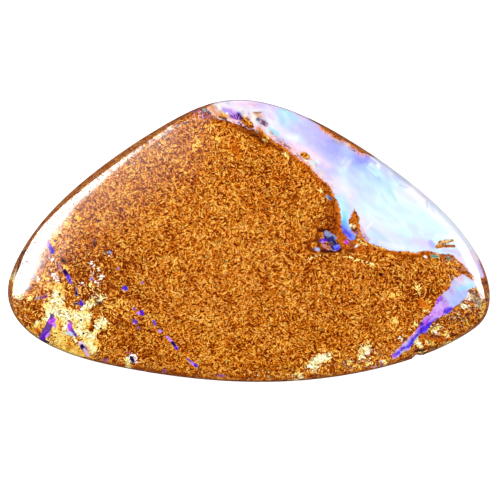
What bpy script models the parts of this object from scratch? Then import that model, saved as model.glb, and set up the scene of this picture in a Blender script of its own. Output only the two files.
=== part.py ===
"""A polished freeform boulder opal: a domed stone of brown ironstone with precious opal grown through it.

The stone lies on its flat ground back with its polished face up. It is one body: ironstone and
opal formed together and were ground and polished as one surface, so nothing on it is a separate
piece. Lengths at the top are in millimetres; the mesh is made in metres, with +Z up and the
origin under the middle of the back.
"""

import math

import bmesh
import bpy
import numpy as np

MM = 0.001

# The widest outline, seen from above, as points on one smooth closed curve, counter-clockwise
# from the right tip.
OUTLINE = (
    (17.14, -1.06),
    (13.00, 3.64),
    (8.26, 7.10),
    (3.92, 9.46),
    (1.09, 10.38),
    (-0.93, 10.59),
    (-2.95, 10.29),
    (-5.75, 9.05),
    (-10.26, 6.18),
    (-14.30, 2.79),
    (-17.23, -1.06),
    (-18.09, -4.27),
    (-17.50, -5.77),
    (-14.72, -7.97),
    (-9.89, -9.44),
    (-4.22, -10.32),
    (0.92, -10.60),
    (6.49, -10.20),
    (11.54, -9.08),
    (16.34, -6.97),
    (17.68, -5.77),
    (18.07, -4.24),
)
AROUND = 144            # points made around the outline
STEPS_A_CORNER = 40     # fine steps walked between two corners to space those points evenly
DOME_CENTRE = (0.1, -0.7)  # the middle that the dome's rings close in on

THICKNESS = 5.4         # flat back to the top of the dome
BACK_BEVEL = 0.40       # the ground edge round the back, both inwards and up
GIRDLE_HEIGHT = 1.50    # where the outline is widest
GIRDLE_BULGE = 0.06     # how far the wall stands back just over the bevel
SHOULDER_ROUND = 0.12   # radius that polishing leaves on the edge between wall and dome
WALL_LEVELS = (0.35, 0.7, 1.0)  # rings up the wall, as shares of its height over the girdle
WALL_CURVE = 1.5        # how late the wall turns inwards on its way up

# Wall, shoulder and rolled edge were ground by hand, so they wander round the stone. Each pair is
# a direction in degrees and the value there.
SHOULDER_HEIGHT = (
    (0, 3.20), (45, 3.45), (90, 3.75), (140, 3.65), (182, 3.50), (230, 3.65), (290, 3.55), (330, 3.30),
)
WALL_LEAN = (           # how far the wall leans in from the outline to the shoulder
    (0, 0.38), (20, 0.30), (45, 0.20), (90, 0.12), (120, 0.24), (135, 0.40), (150, 0.45), (161, 0.42),
    (169, 0.31), (176, 0.22), (181, 0.26), (187, 0.42), (192, 0.38), (200, 0.17), (230, 0.14),
    (290, 0.13), (335, 0.16), (345, 0.32), (351, 0.50), (356, 0.48),
)
ROLL_WIDTH = (          # how far in from the shoulder the face starts to roll over
    (0, 0.64), (15, 0.70), (45, 0.65), (90, 0.65), (130, 0.45), (145, 0.45), (165, 0.85), (178, 1.6),
    (188, 2.1), (200, 1.2), (230, 0.7), (290, 0.55), (335, 0.50), (345, 0.55), (352, 0.74),
)

# The dome is a broad low crown plus the rolled edge, which meets the wall at one slope all the way round.
EDGE_SLOPE = 0.90       # fall of the face at the shoulder, 42 degrees
CROWN_POWER = 2.2       # how flat the middle stays
ROLL_POWER = 2.2        # how late the edge turns down
DOME_RINGS = 18
RING_CROWDING = 1.8     # rings stand closer together towards the shoulder

# Where the opal shows, as corners of its seams in plan.
OPAL_WINDOW = (
    (-3.4, 10.5), (-2.5, 9.8), (-1.2, 9.0), (0.9, 8.5), (2.1, 7.3), (4.4, 6.3), (6.1, 3.8), (6.9, 1.6),
    (7.6, 0.1), (9.6, -0.5), (14.0, -0.8), (16.3, -2.1), (17.6, -2.8), (17.2, -1.0), (13.1, 3.7), (8.2, 7.0),
    (4.5, 9.1), (1.1, 10.5),
)
OPAL_WEDGE = (
    (15.7, -2.4), (14.2, -4.4), (12.6, -6.9), (10.8, -8.5), (11.2, -8.8), (12.6, -7.4), (14.6, -5.8),
    (16.3, -4.2), (17.2, -3.1),
)

IRONSTONE_COLOUR = (0.56, 0.20, 0.035)
OPAL_COLOUR = (0.68, 0.76, 0.95)
POLISHED_ROUGHNESS = 0.12
SHARP_FROM = 28         # degrees between two faces from which their edge is shaded sharp


def clear_scene():
    """Removes every object, so the script can be run again."""
    for old in list(bpy.data.objects):
        bpy.data.objects.remove(old)


def smooth_loop(corners, count):
    """Points evenly spaced along the closed cubic spline through the corners."""
    corners = np.array(corners, float)
    ahead = np.roll(corners, -1, axis=0)
    length = np.linalg.norm(ahead - corners, axis=1)
    last = np.roll(length, 1)
    slope = (ahead - corners) / length[:, None]
    system = np.diag(2 * (length + last))
    total = len(corners)
    for i in range(total):
        system[i, i - 1] += last[i]
        system[i, (i + 1) % total] += length[i]
    bend = np.linalg.solve(system, 6 * (slope - np.roll(slope, 1, axis=0)))
    start = np.concatenate([[0], np.cumsum(length)])

    def at(travel):
        k = np.clip(np.searchsorted(start, travel, side="right") - 1, 0, total - 1)
        to_next = ((start[k + 1] - travel) / length[k])[:, None]
        done = 1 - to_next
        curve = (to_next**3 - to_next) * bend[k] + (done**3 - done) * np.roll(bend, -1, axis=0)[k]
        return to_next * corners[k] + done * ahead[k] + curve * (length[k] ** 2)[:, None] / 6

    fine = at(np.linspace(0, start[-1], STEPS_A_CORNER * total))
    walked = np.concatenate([[0], np.cumsum(np.linalg.norm(np.diff(fine, axis=0), axis=1))])
    even = np.linspace(0, walked[-1], count, endpoint=False)
    return np.column_stack([np.interp(even, walked, fine[:, 0]), np.interp(even, walked, fine[:, 1])])


def middle_on_origin(loop):
    """The loop moved so that the middle of its box is at zero."""
    return loop - (loop.max(axis=0) + loop.min(axis=0)) / 2


def inward(loop):
    """Unit directions pointing into a counter-clockwise loop at each of its points."""
    along = np.roll(loop, -1, axis=0) - np.roll(loop, 1, axis=0)
    along /= np.linalg.norm(along, axis=1)[:, None]
    return np.column_stack([-along[:, 1], along[:, 0]])


def round_the_stone(stations, loop):
    """The value at each point of the loop, blended between those given at compass directions."""
    direction = np.degrees(np.arctan2(loop[:, 1], loop[:, 0])) % 360
    first = stations[0]
    ring = np.array([*stations, (first[0] + 360, first[1])], float)
    k = np.clip(np.searchsorted(ring[:, 0], direction, side="right") - 1, 0, len(stations) - 1)
    share = (direction - ring[k, 0]) / (ring[k + 1, 0] - ring[k, 0])
    blend = share * share * (3 - 2 * share)
    return ring[k, 1] + (ring[k + 1, 1] - ring[k, 1]) * blend


def level(plan, height):
    """A ring in space from its plan points and a height for all of them, or one for each."""
    return np.column_stack([plan, np.broadcast_to(height, len(plan))])


def wall_rings(loop, into, lean, top):
    """Rings from the flat back up to the shoulder."""
    rings = [
        level(loop + into * (BACK_BEVEL + GIRDLE_BULGE), 0.0),
        level(loop + into * GIRDLE_BULGE, BACK_BEVEL),
        level(loop, GIRDLE_HEIGHT),
    ]
    for share in WALL_LEVELS:
        height = GIRDLE_HEIGHT + (top - SHOULDER_ROUND - GIRDLE_HEIGHT) * share
        rings.append(level(loop + into * (lean * share**WALL_CURVE)[:, None], height))
    return rings


def dome_rings(shoulder, into, top):
    """Rings from the shoulder in towards the dome's centre: a broad crown added to a rolled edge."""
    centre = np.array(DOME_CENTRE)
    reach = ((centre - shoulder) * into).sum(axis=1)  # from the centre square to the edge
    width = round_the_stone(ROLL_WIDTH, shoulder)
    rise = THICKNESS - top
    crown = (rise - EDGE_SLOPE * width / ROLL_POWER) / (1 - CROWN_POWER * width / (reach * ROLL_POWER))
    rings = []
    for k in range(DOME_RINGS):
        share_out = 1 - (k / DOME_RINGS) ** RING_CROWDING
        rolled = np.clip(1 - (1 - share_out) * reach / width, 0, 1) ** ROLL_POWER
        height = top + crown * (1 - share_out**CROWN_POWER) + (rise - crown) * (1 - rolled)
        rings.append(level(centre + (shoulder - centre) * share_out, height))
    return rings


def inside(point, corners):
    """True where a plan point is inside a closed outline."""
    found = False
    for (ax, ay), (bx, by) in zip(corners, corners[1:] + corners[:1]):
        if (ay > point[1]) != (by > point[1]) and point[0] < ax + (point[1] - ay) * (bx - ax) / (by - ay):
            found = not found
    return found


def finish(name, colour):
    """A polished stone finish."""
    material = bpy.data.materials.new(name)
    material.use_nodes = True
    shader = material.node_tree.nodes["Principled BSDF"]
    shader.inputs["Base Color"].default_value = (*colour, 1.0)
    shader.inputs["Roughness"].default_value = POLISHED_ROUGHNESS
    shader.inputs["Metallic"].default_value = 0.0
    return material


def skin(mesh, rings):
    """Faces between each ring and the next, and a fan that closes each end."""
    made = [[mesh.verts.new(point * MM) for point in ring] for ring in rings]
    under = mesh.verts.new((0.0, 0.0, 0.0))
    crest = mesh.verts.new((DOME_CENTRE[0] * MM, DOME_CENTRE[1] * MM, THICKNESS * MM))
    for i in range(AROUND):
        j = (i + 1) % AROUND
        mesh.faces.new((made[0][j], made[0][i], under))
        mesh.faces.new((made[-1][i], made[-1][j], crest))
        for low, high in zip(made, made[1:]):
            mesh.faces.new((low[i], low[j], high[j], high[i]))


def mark_opal(mesh):
    """Gives the faces over the opal seams the second finish."""
    for face in mesh.faces:
        middle = face.calc_center_median() / MM
        opal = any(inside(middle, seam) for seam in (OPAL_WINDOW, OPAL_WEDGE))
        face.material_index = 1 if opal and middle.z > GIRDLE_HEIGHT else 0


def build_stone():
    """The whole stone: back, bevelled edge, leaning wall and rolled dome, in one closed mesh."""
    loop = middle_on_origin(smooth_loop(OUTLINE, AROUND))
    into = inward(loop)
    lean = round_the_stone(WALL_LEAN, loop)
    top = round_the_stone(SHOULDER_HEIGHT, loop)
    shoulder = loop + into * (lean + SHOULDER_ROUND / 2)[:, None]

    mesh = bmesh.new()
    skin(mesh, wall_rings(loop, into, lean, top) + dome_rings(shoulder, into, top))
    mark_opal(mesh)

    data = bpy.data.meshes.new("boulder_opal_stone")
    mesh.to_mesh(data)
    mesh.free()
    data.materials.append(finish("polished_ironstone", IRONSTONE_COLOUR))
    data.materials.append(finish("precious_opal", OPAL_COLOUR))
    data.shade_smooth()
    data.set_sharp_from_angle(angle=math.radians(SHARP_FROM))
    stone = bpy.data.objects.new("boulder_opal_stone", data)
    bpy.context.scene.collection.objects.link(stone)
    return stone


clear_scene()
build_stone()
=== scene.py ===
# %% [markdown]
# # A polished boulder opal
# Boulder opal forms where silica-rich water fills cracks in sandy brown ironstone. A cutter slices the
# boulder, grinds one piece to a low freeform dome and polishes opal and ironstone together, so the
# finished stone is one solid body whose surface changes from coarse brown grain to milky lavender and
# aqua glass. This lesson rebuilds the stone in Blender: first its form, then the fine relief that
# polishing leaves, then the seams and their colours, and last the finish and the studio.

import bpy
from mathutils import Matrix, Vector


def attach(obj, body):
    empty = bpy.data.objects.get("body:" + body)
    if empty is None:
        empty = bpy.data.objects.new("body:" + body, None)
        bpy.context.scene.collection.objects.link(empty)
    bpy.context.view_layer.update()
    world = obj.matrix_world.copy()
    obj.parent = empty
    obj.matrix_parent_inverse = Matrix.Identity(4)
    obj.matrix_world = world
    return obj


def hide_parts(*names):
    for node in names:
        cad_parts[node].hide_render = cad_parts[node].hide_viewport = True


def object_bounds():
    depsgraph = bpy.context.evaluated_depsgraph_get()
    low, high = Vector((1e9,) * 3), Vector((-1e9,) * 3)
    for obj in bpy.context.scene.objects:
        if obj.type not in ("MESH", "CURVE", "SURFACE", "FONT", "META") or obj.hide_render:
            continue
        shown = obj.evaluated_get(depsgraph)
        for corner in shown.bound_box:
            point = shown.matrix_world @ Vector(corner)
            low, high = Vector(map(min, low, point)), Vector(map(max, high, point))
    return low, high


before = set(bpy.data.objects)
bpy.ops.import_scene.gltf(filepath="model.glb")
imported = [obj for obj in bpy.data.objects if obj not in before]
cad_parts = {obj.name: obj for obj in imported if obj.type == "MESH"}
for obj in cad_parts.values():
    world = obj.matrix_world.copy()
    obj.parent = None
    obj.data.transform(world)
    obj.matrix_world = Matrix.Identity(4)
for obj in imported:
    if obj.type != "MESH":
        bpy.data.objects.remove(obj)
cad_low, cad_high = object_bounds()
print("the stone's solid measures", [round((b - a) * 1000, 2) for a, b in zip(cad_low, cad_high)], "mm")

# %% Tools and units
import itertools
import math

import bpy
import numpy as np

MM = 0.001                  # lengths are in millimetres and become metres where Blender takes them
THICKNESS = (cad_high.z - cad_low.z) / MM
print("thickness", round(THICKNESS, 2), "mm")

# %% [markdown]
# ## The outline
# A freeform stone follows the shape of the rough, so no circle or ellipse fits it. Tracing it as
# hundreds of points would work but can't be adjusted by hand. A closed cubic spline through a couple of
# dozen points is what a cutter's template is too: a few measured places joined by one fair curve.

# %% Points on the widest line, in millimetres, counter-clockwise from the right tip
OUTLINE = (
    (17.14, -1.06), (13.00, 3.64), (8.26, 7.10), (3.92, 9.46), (1.09, 10.38), (-0.93, 10.59),
    (-2.95, 10.29), (-5.75, 9.05), (-10.26, 6.18), (-14.30, 2.79), (-17.23, -1.06), (-18.09, -4.27),
    (-17.50, -5.77), (-14.72, -7.97), (-9.89, -9.44), (-4.22, -10.32), (0.92, -10.60), (6.49, -10.20),
    (11.54, -9.08), (16.34, -6.97), (17.68, -5.77), (18.07, -4.24),
)
STEPS_A_CORNER = 200        # fine steps walked between two corners, to space the points evenly


def fair_curve(corners, count):
    """Evenly spaced points on the closed cubic spline through the corners."""
    corners = np.array(corners, float)
    ahead = np.roll(corners, -1, axis=0)
    length = np.linalg.norm(ahead - corners, axis=1)
    last = np.roll(length, 1)
    slope = (ahead - corners) / length[:, None]
    total = len(corners)
    system = np.diag(2 * (length + last))
    for i in range(total):
        system[i, i - 1] += last[i]
        system[i, (i + 1) % total] += length[i]
    bend = np.linalg.solve(system, 6 * (slope - np.roll(slope, 1, axis=0)))
    start = np.concatenate([[0], np.cumsum(length)])
    travel = np.linspace(0, start[-1], STEPS_A_CORNER * total)
    k = np.clip(np.searchsorted(start, travel, side="right") - 1, 0, total - 1)
    back = ((start[k + 1] - travel) / length[k])[:, None]
    on = 1 - back
    bow = (back**3 - back) * bend[k] + (on**3 - on) * np.roll(bend, -1, axis=0)[k]
    fine = back * corners[k] + on * ahead[k] + bow * (length[k] ** 2)[:, None] / 6
    walked = np.concatenate([[0], np.cumsum(np.linalg.norm(np.diff(fine, axis=0), axis=1))])
    even = np.linspace(0, walked[-1], count, endpoint=False)
    return np.column_stack([np.interp(even, walked, fine[:, 0]), np.interp(even, walked, fine[:, 1])])


CELLS = 272                 # squares across the dome's grid
AROUND = 4 * CELLS          # points on the rim, one for each step round the grid's edge
rim = fair_curve(OUTLINE, AROUND)
rim -= (rim.max(axis=0) + rim.min(axis=0)) / 2
print("outline", np.ptp(rim, axis=0).round(2), "mm, a point every",
      round(float(np.linalg.norm(rim[1] - rim[0])), 3), "mm")

# %% [markdown]
# ## The wall
# From the side the stone is a slab: a flat ground back with a small bevel, a nearly upright wall that
# is widest low down, and a shoulder where the polished face begins. The wall was held against a wheel
# by hand, so its lean and the shoulder's height wander round the stone. Both are given at a few compass
# directions and blended between them.

# %% The shoulder all the way round
SHOULDER_HEIGHT = (  # direction in degrees, height above the back
    (0, 3.20), (45, 3.45), (90, 3.75), (140, 3.65), (182, 3.50), (230, 3.65), (290, 3.55), (330, 3.30),
)
WALL_LEAN = (  # direction in degrees, how far the wall leans in from the outline
    (0, 0.38), (20, 0.30), (45, 0.20), (90, 0.12), (120, 0.24), (135, 0.40), (150, 0.45), (161, 0.42),
    (169, 0.31), (176, 0.22), (181, 0.26), (187, 0.42), (192, 0.38), (200, 0.17), (230, 0.14),
    (290, 0.13), (335, 0.16), (345, 0.32), (351, 0.50), (356, 0.48),
)


def around_the_compass(stations, places):
    """Blends the values given at compass directions to the directions of the places."""
    direction = np.degrees(np.arctan2(places[:, 1], places[:, 0])) % 360
    ring = np.array([*stations, (stations[0][0] + 360, *stations[0][1:])], float)
    k = np.clip(np.searchsorted(ring[:, 0], direction, side="right") - 1, 0, len(stations) - 1)
    share = np.clip((direction - ring[k, 0]) / (ring[k + 1, 0] - ring[k, 0]), 0, 1)
    eased = (share * share * (3 - 2 * share))[:, None]
    return (ring[k, 1:] + (ring[k + 1, 1:] - ring[k, 1:]) * eased).T


along = np.roll(rim, -1, axis=0) - np.roll(rim, 1, axis=0)
along /= np.linalg.norm(along, axis=1)[:, None]
into = np.column_stack([-along[:, 1], along[:, 0]])
(shoulder_height,) = around_the_compass(SHOULDER_HEIGHT, rim)
(lean,) = around_the_compass(WALL_LEAN, rim)
print("the wall leans in", lean.min().round(2), "to", lean.max().round(2), "mm")

# %% The wall's section, from the back's edge up to the shoulder
BACK_BEVEL = 0.40
GIRDLE_BULGE = 0.06
GIRDLE_HEIGHT = 1.50        # where the stone is widest
SHOULDER_ROUND = 0.12
WALL_LEVELS = (0.3, 0.65, 1.0)  # rings above the girdle, as shares of the wall's height
WALL_CURVE = 1.5            # how late the wall turns inwards on its way up
CORNER_CUT = 0.25


def ring_at(inset, height):
    """One ring of the wall: the rim moved inwards, at a height, each one number or one for each point."""
    plan = rim + into * np.broadcast_to(inset, AROUND)[:, None]
    return np.column_stack([plan, np.broadcast_to(height, AROUND)])


def soften(rings):
    """Cuts every corner of the section between rings once, as a wheel and a strap take off sharp edges."""
    made = [rings[0]]
    for low, high in zip(rings, rings[1:]):
        made.append(low * (1 - CORNER_CUT) + high * CORNER_CUT)
        made.append(low * CORNER_CUT + high * (1 - CORNER_CUT))
    return made + [rings[-1]]


wall_top = shoulder_height - SHOULDER_ROUND
wall = [
    ring_at(BACK_BEVEL + GIRDLE_BULGE, 0.0),
    ring_at(GIRDLE_BULGE, BACK_BEVEL),
    ring_at(0.0, GIRDLE_HEIGHT),
]
for share in WALL_LEVELS:
    wall.append(ring_at(lean * share**WALL_CURVE, GIRDLE_HEIGHT + (wall_top - GIRDLE_HEIGHT) * share))
shoulder = rim + into * (lean + SHOULDER_ROUND / 2)[:, None]
wall = soften(wall + [np.column_stack([shoulder, shoulder_height])])
print(len(wall), "rings in the wall")

# %% [markdown]
# ## The dome
# A cabochon's face is nearly flat in the middle and rolls over in its last millimetre; the bright lines
# that lights draw just inside the rim come from that roll, and they are as wide as the roll is. It was
# made by hand on a soft wheel, so it is narrow along the upper left and wide round the left tip, but it
# meets the wall at much the same slope everywhere. A UV sphere would pinch at its pole and waste faces,
# so the dome is a square grid whose rings of squares are stretched onto scaled copies of the shoulder.
# The cells then stay nearly the same size everywhere, which the fine relief needs.

# %% The dome's height and its grid
ROLL_WIDTH = (  # direction in degrees, how far in from the shoulder the face starts to roll over
    (0, 0.64), (15, 0.70), (45, 0.65), (90, 0.65), (130, 0.45), (145, 0.45), (165, 0.85), (178, 1.6),
    (188, 2.1), (200, 1.2), (230, 0.7), (290, 0.55), (335, 0.50), (345, 0.55), (352, 0.74),
)
EDGE_SLOPE = 0.90           # the fall of the face where it meets the wall, 42 degrees
CROWN_POWER = 2.2           # how flat the middle stays
ROLL_POWER = 2.2            # how late the edge turns down
DOME_CENTRE = (0.1, -0.7)
RING_CROWDING = 1.12        # above 1, rings stand closer together towards the shoulder


def square_rings(cells):
    """For each corner of a square grid: the ring it is on, and how far round it, from 0 to 1."""
    steps = np.arange(-cells // 2, cells // 2 + 1)
    u, v = (a.ravel() for a in np.meshgrid(steps, steps))
    ring = np.maximum(abs(u), abs(v))
    round_it = np.select(
        [(u == ring) & (v < ring), (v == ring) & (u > -ring), (u == -ring) & (v > -ring)],
        [v + ring, 3 * ring - u, 5 * ring - v],
        7 * ring + u,
    )
    return ring, np.where(ring > 0, round_it / np.maximum(8 * ring, 1), 0) % 1


def round_loop(values, share):
    """Values given round a loop, read at shares of the way round it."""
    closed = np.concatenate([values, values[:1]])
    return np.interp(share * len(values), np.arange(len(closed)), closed)


def grid_faces(cells, first=0):
    """The squares of a grid as rows of four corner numbers."""
    row, column = (a.ravel() for a in np.meshgrid(np.arange(cells), np.arange(cells), indexing="ij"))
    corner = first + row * (cells + 1) + column
    return np.column_stack([corner, corner + 1, corner + cells + 2, corner + cells + 1])


ring, share_round = square_rings(CELLS)
out = 1 - (1 - ring / (CELLS / 2)) ** RING_CROWDING
edge = np.column_stack([round_loop(shoulder[:, axis], share_round) for axis in (0, 1)])
edge_height = round_loop(shoulder_height, share_round)
to_centre = ((DOME_CENTRE - shoulder) * into).sum(axis=1)   # measured square to the edge
reach = round_loop(to_centre, share_round)
(roll_width,) = around_the_compass(ROLL_WIDTH, edge)
rise = THICKNESS - edge_height
crown = rise - EDGE_SLOPE * roll_width / ROLL_POWER
crown /= 1 - CROWN_POWER * roll_width / (reach * ROLL_POWER)
rolled = np.clip(1 - (1 - out) * reach / roll_width, 0, 1) ** ROLL_POWER
dome = np.column_stack([
    DOME_CENTRE + (edge - DOME_CENTRE) * out[:, None],
    edge_height + crown * (1 - out**CROWN_POWER) + (rise - crown) * (1 - rolled),
])
print(len(dome), "points on the dome, highest at", dome[:, 2].max().round(2), "mm")

# %% [markdown]
# ## One closed skin
# Dome, wall and back share their points, so light can't leak in and the relief that comes next can't
# open a seam. The back needs far fewer faces than the face: two rows of triangles halve the number of
# points each time, and a coarser copy of the same grid closes the middle.

# %% Sew dome, wall and back together
HALVINGS = 2                # rows of triangles that halve the points on the way in
STEP_IN = (0.985, 0.985, 1)  # how each halved loop is scaled to lie inside the one before


def loop_faces(low, high):
    """Squares between two loops of as many points."""
    return np.column_stack([low, np.roll(low, -1), np.roll(high, -1), high])


def halving_faces(outer, inner):
    """Triangles from a loop to one with half as many points, seen from below."""
    faces = []
    count = len(outer)
    for i in range(len(inner)):
        a, b, c = outer[2 * i], outer[2 * i + 1], outer[(2 * i + 2) % count]
        p, q = inner[i], inner[(i + 1) % len(inner)]
        faces += [(b, a, p), (b, p, q), (c, b, q)]
    return faces


points = [dome]
faces = [tuple(f) for f in grid_faces(CELLS)]
on_edge = np.flatnonzero(ring == CELLS // 2)
above = on_edge[np.argsort(share_round[on_edge])]
count = len(dome)
for level in reversed(wall[:-1]):
    below = np.arange(count, count + AROUND)
    points.append(level)
    faces += [tuple(f) for f in loop_faces(below, above)]
    above, count = below, count + AROUND

for _ in range(HALVINGS):
    inner = np.concatenate(points)[above[::2]] * STEP_IN
    below = np.arange(count, count + len(inner))
    points.append(inner)
    faces += halving_faces(above, below)
    above, count = below, count + len(inner)

back_cells = len(above) // 4
back_ring, back_share = square_rings(back_cells)
back_edge = np.concatenate(points)[above]
back_out = back_ring / (back_cells / 2)
back_plan = [round_loop(back_edge[:, axis], back_share) * back_out for axis in (0, 1)]
back = np.column_stack([*back_plan, 0 * back_out])
shared = {}
for number in np.flatnonzero(back_ring == back_cells // 2):
    shared[number] = above[int(round(back_share[number] * len(above))) % len(above)]
inside_numbers = [n for n in range(len(back)) if n not in shared]
for new, number in enumerate(inside_numbers):
    shared[number] = count + new
points.append(back[inside_numbers])
faces += [tuple(int(shared[n]) for n in reversed(f)) for f in grid_faces(back_cells)]
points = np.concatenate(points)
print(len(points), "points,", sum(len(f) - 2 for f in faces), "triangles")

# %% Make the mesh and read its normals
mesh = bpy.data.meshes.new("opal_stone")
mesh.from_pydata((points * MM).tolist(), [], [tuple(int(n) for n in f) for f in faces])
mesh.shade_smooth()
normals = np.zeros(len(points) * 3, np.float32)
mesh.vertex_normals.foreach_get("vector", normals)
normals = normals.reshape(-1, 3)
POLISH_FADE = 0.4           # the polish ends over this height above the girdle


def ramp(value, low, high):
    """0 below low, 1 above high, and straight in between."""
    return np.clip((value - low) / (high - low), 0, 1)


face_up = ramp(points[:, 2], GIRDLE_HEIGHT, GIRDLE_HEIGHT + POLISH_FADE)
print("loose edges:", sum(e.is_loose for e in mesh.edges))
print("share of the points that face up:", (normals[:, 2] > 0.9).mean().round(2))

# %% [markdown]
# ## Noise to paint and carve with
# Nature repeats nothing, so wobbling edges, mottling and relief all need a smooth random field. The
# same seed gives the same field on every run. Values at the corners of a lattice are blended across
# each cell, and adding a finer lattice at half the strength gives detail at two scales.

# %% A smooth random field
LATTICE = 1024              # random values in store, and the cells after which they repeat


def field(places, size, seed, layers=2):
    """Smooth random values, mostly from -1 to 1, that change over about `size` millimetres."""
    source = np.random.default_rng(seed)
    order = source.permutation(LATTICE)
    value = source.uniform(-1, 1, LATTICE)
    total = np.zeros(len(places))
    for layer in range(layers):
        cell = places / (size / 2**layer)
        whole = np.floor(cell).astype(int)
        near = cell - whole
        near = near * near * (3 - 2 * near)
        for corner in itertools.product((0, 1), repeat=3):
            x, y, z = (whole + corner).T
            row = order[(order[x % LATTICE] + y) % LATTICE]
            found = value[order[(row + z) % LATTICE]]
            total += found * np.where(corner, near, 1 - near).prod(axis=1) / 2**layer
    return total


print("a field's spread:", field(points, 1.0, 1).std().round(2))

# %% [markdown]
# ## Where the opal is
# The opal fills one wide seam that opens at the upper right, and a narrow wedge below it. Their borders
# are drawn as plan outlines, and the signed distance to an outline, positive inside, says how deep in
# the opal each point is. A distance is better than a painted mask: the shader can cut it as sharp as it
# likes, and can find the rusty band that follows the border.

# %% The seams' borders
WINDOW = (  # along the ironstone from the left tip to the right, then back outside the rim
    (-3.41, 10.15), (-2.74, 9.48), (-2.22, 9.07), (-1.62, 8.96), (-1.10, 8.78), (-0.58, 8.59),
    (-0.02, 8.37), (0.54, 8.25), (0.83, 8.44), (1.16, 8.01), (1.50, 7.73), (1.80, 7.55), (2.06, 7.25),
    (2.55, 6.99), (3.11, 6.65), (3.52, 6.24), (3.89, 5.99), (4.56, 5.57), (4.84, 5.19), (5.27, 4.71),
    (5.65, 4.40), (6.05, 4.01), (6.36, 3.42), (6.57, 3.00), (6.78, 2.43), (6.88, 1.74), (6.88, 1.12),
    (6.99, 0.65), (7.25, 0.28), (7.57, 0.02), (7.87, 0.11), (7.99, 0.34), (7.73, 0.60), (7.49, 1.01),
    (7.46, 1.40), (7.57, 1.90), (7.85, 2.35), (8.05, 2.06), (8.25, 1.64), (8.30, 1.01), (8.40, 0.60),
    (8.56, 0.28), (8.87, -0.09), (9.19, -0.24), (9.71, -0.39), (10.23, -0.61), (10.76, -0.72),
    (11.44, -0.76), (11.96, -0.82), (12.58, -0.80), (13.14, -0.72), (13.66, -0.77), (14.29, -0.93),
    (14.97, -0.96), (15.36, -1.17), (15.51, -1.45), (16.00, -1.68), (16.40, -2.30), (16.75, -2.55),
    (17.50, -2.75), (18.60, -2.60), (18.60, 0.00), (14.00, 5.50), (8.00, 9.50), (2.00, 12.00),
    (-3.00, 12.00),
)
WEDGE = (
    (15.41, -2.73), (15.11, -3.03), (14.96, -3.49), (14.65, -3.79), (14.04, -4.37), (13.93, -4.71),
    (13.66, -5.24), (13.40, -5.54), (13.06, -5.79), (12.78, -6.09), (12.59, -6.54), (12.21, -7.00),
    (11.60, -7.64), (11.29, -7.99), (10.99, -8.21), (10.65, -8.52), (10.70, -8.73), (10.88, -8.75),
    (11.22, -8.55), (11.49, -8.30), (11.91, -8.14), (12.21, -7.76), (12.47, -7.38), (12.70, -7.01),
    (12.98, -6.90), (13.31, -6.83), (13.50, -6.40), (13.80, -6.02), (14.18, -5.71), (14.58, -5.51),
    (15.03, -5.31), (15.19, -5.07), (15.79, -4.59), (16.21, -4.25), (16.26, -3.87), (16.40, -3.69),
    (16.93, -3.49), (17.34, -3.14), (17.08, -2.85), (16.70, -2.99), (16.37, -2.70), (15.95, -2.54),
)


def depth_inside(places, corners):
    """Signed distance in plan to a closed outline: positive inside it."""
    corners = np.array(corners, float)
    nearest = np.full(len(places), 1e9)
    inside = np.zeros(len(places), bool)
    x, y = places[:, 0], places[:, 1]
    for (ax, ay), (bx, by) in zip(corners, np.roll(corners, -1, axis=0)):
        share = ((x - ax) * (bx - ax) + (y - ay) * (by - ay)) / ((bx - ax) ** 2 + (by - ay) ** 2)
        share = np.clip(share, 0, 1)
        nearest = np.minimum(nearest, np.hypot(x - ax - share * (bx - ax), y - ay - share * (by - ay)))
        if ay != by:
            inside ^= ((ay > y) != (by > y)) & (x < ax + (y - ay) * (bx - ax) / (by - ay))
    return np.where(inside, nearest, -nearest)


def push(size, seeds):
    """Random sideways pushes that change over about `size` millimetres."""
    return np.column_stack([*(field(points, size, seed) for seed in seeds), 0 * points[:, 0]])


wobble = push(0.45, (11, 12))       # quick, for ragged edges
drift = push(1.2, (31, 32))         # slow, for bent ones
ragged = points + 0.05 * wobble
window = depth_inside(ragged, WINDOW)
wedge = depth_inside(ragged, WEDGE)
on_dome = slice(0, len(dome))
opal_share = (np.maximum(window, wedge)[on_dome] > 0).mean()
print("opal covers", round(100 * float(opal_share)), "% of the dome")

# %% [markdown]
# The seam is a sheet only a millimetre or so deep, so on the wall it ends and ironstone shows under it.
# How deep it goes changes round the stone, and along one stretch of the upper right it doesn't reach
# the wall at all.

# %% How far down the wall the opal goes
SEAM_DEPTH = (  # direction in degrees, millimetres below the shoulder
    (0, 1.7), (20, 2.2), (30, 1.6), (38, -0.1), (56, -0.1), (62, 0.5), (67, 2.4), (98, 2.4), (110, -0.3),
    (250, -0.3), (345, -0.3), (353, 1.0),
)
(seam_depth,) = around_the_compass(SEAM_DEPTH, points)
(shoulder_here,) = around_the_compass(SHOULDER_HEIGHT, points)
FLOOR_WAVE = 0.12           # the seam's floor wanders up and down by this
LOW_ENOUGH = 0.25           # a point higher than this above the shoulder is out of the floor's reach
above_floor = points[:, 2] - (shoulder_here - seam_depth) + FLOOR_WAVE * field(points, 1.1, 21)
cut_by_floor = points[:, 2] < shoulder_here + LOW_ENOUGH
window = np.where(cut_by_floor, np.minimum(window, above_floor), window)
print("opal on the wall:", int((window[len(dome):] > 0).sum()), "points")

# %% Little islands of ironstone that the opal closed round
ISLANDS = (
    (14.05, -0.45, 14.54, -0.34, 0.14), (14.27, -0.16, 14.77, -0.04, 0.17),
    (14.77, -0.01, 15.24, 0.06, 0.10), (14.69, -0.39, 15.29, -0.39, 0.13), (4.08, 6.39, 4.34, 6.24, 0.22),
    (-0.28, 8.95, 0.14, 8.55, 0.24), (-2.14, 9.30, -1.75, 9.12, 0.14),
)

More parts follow.
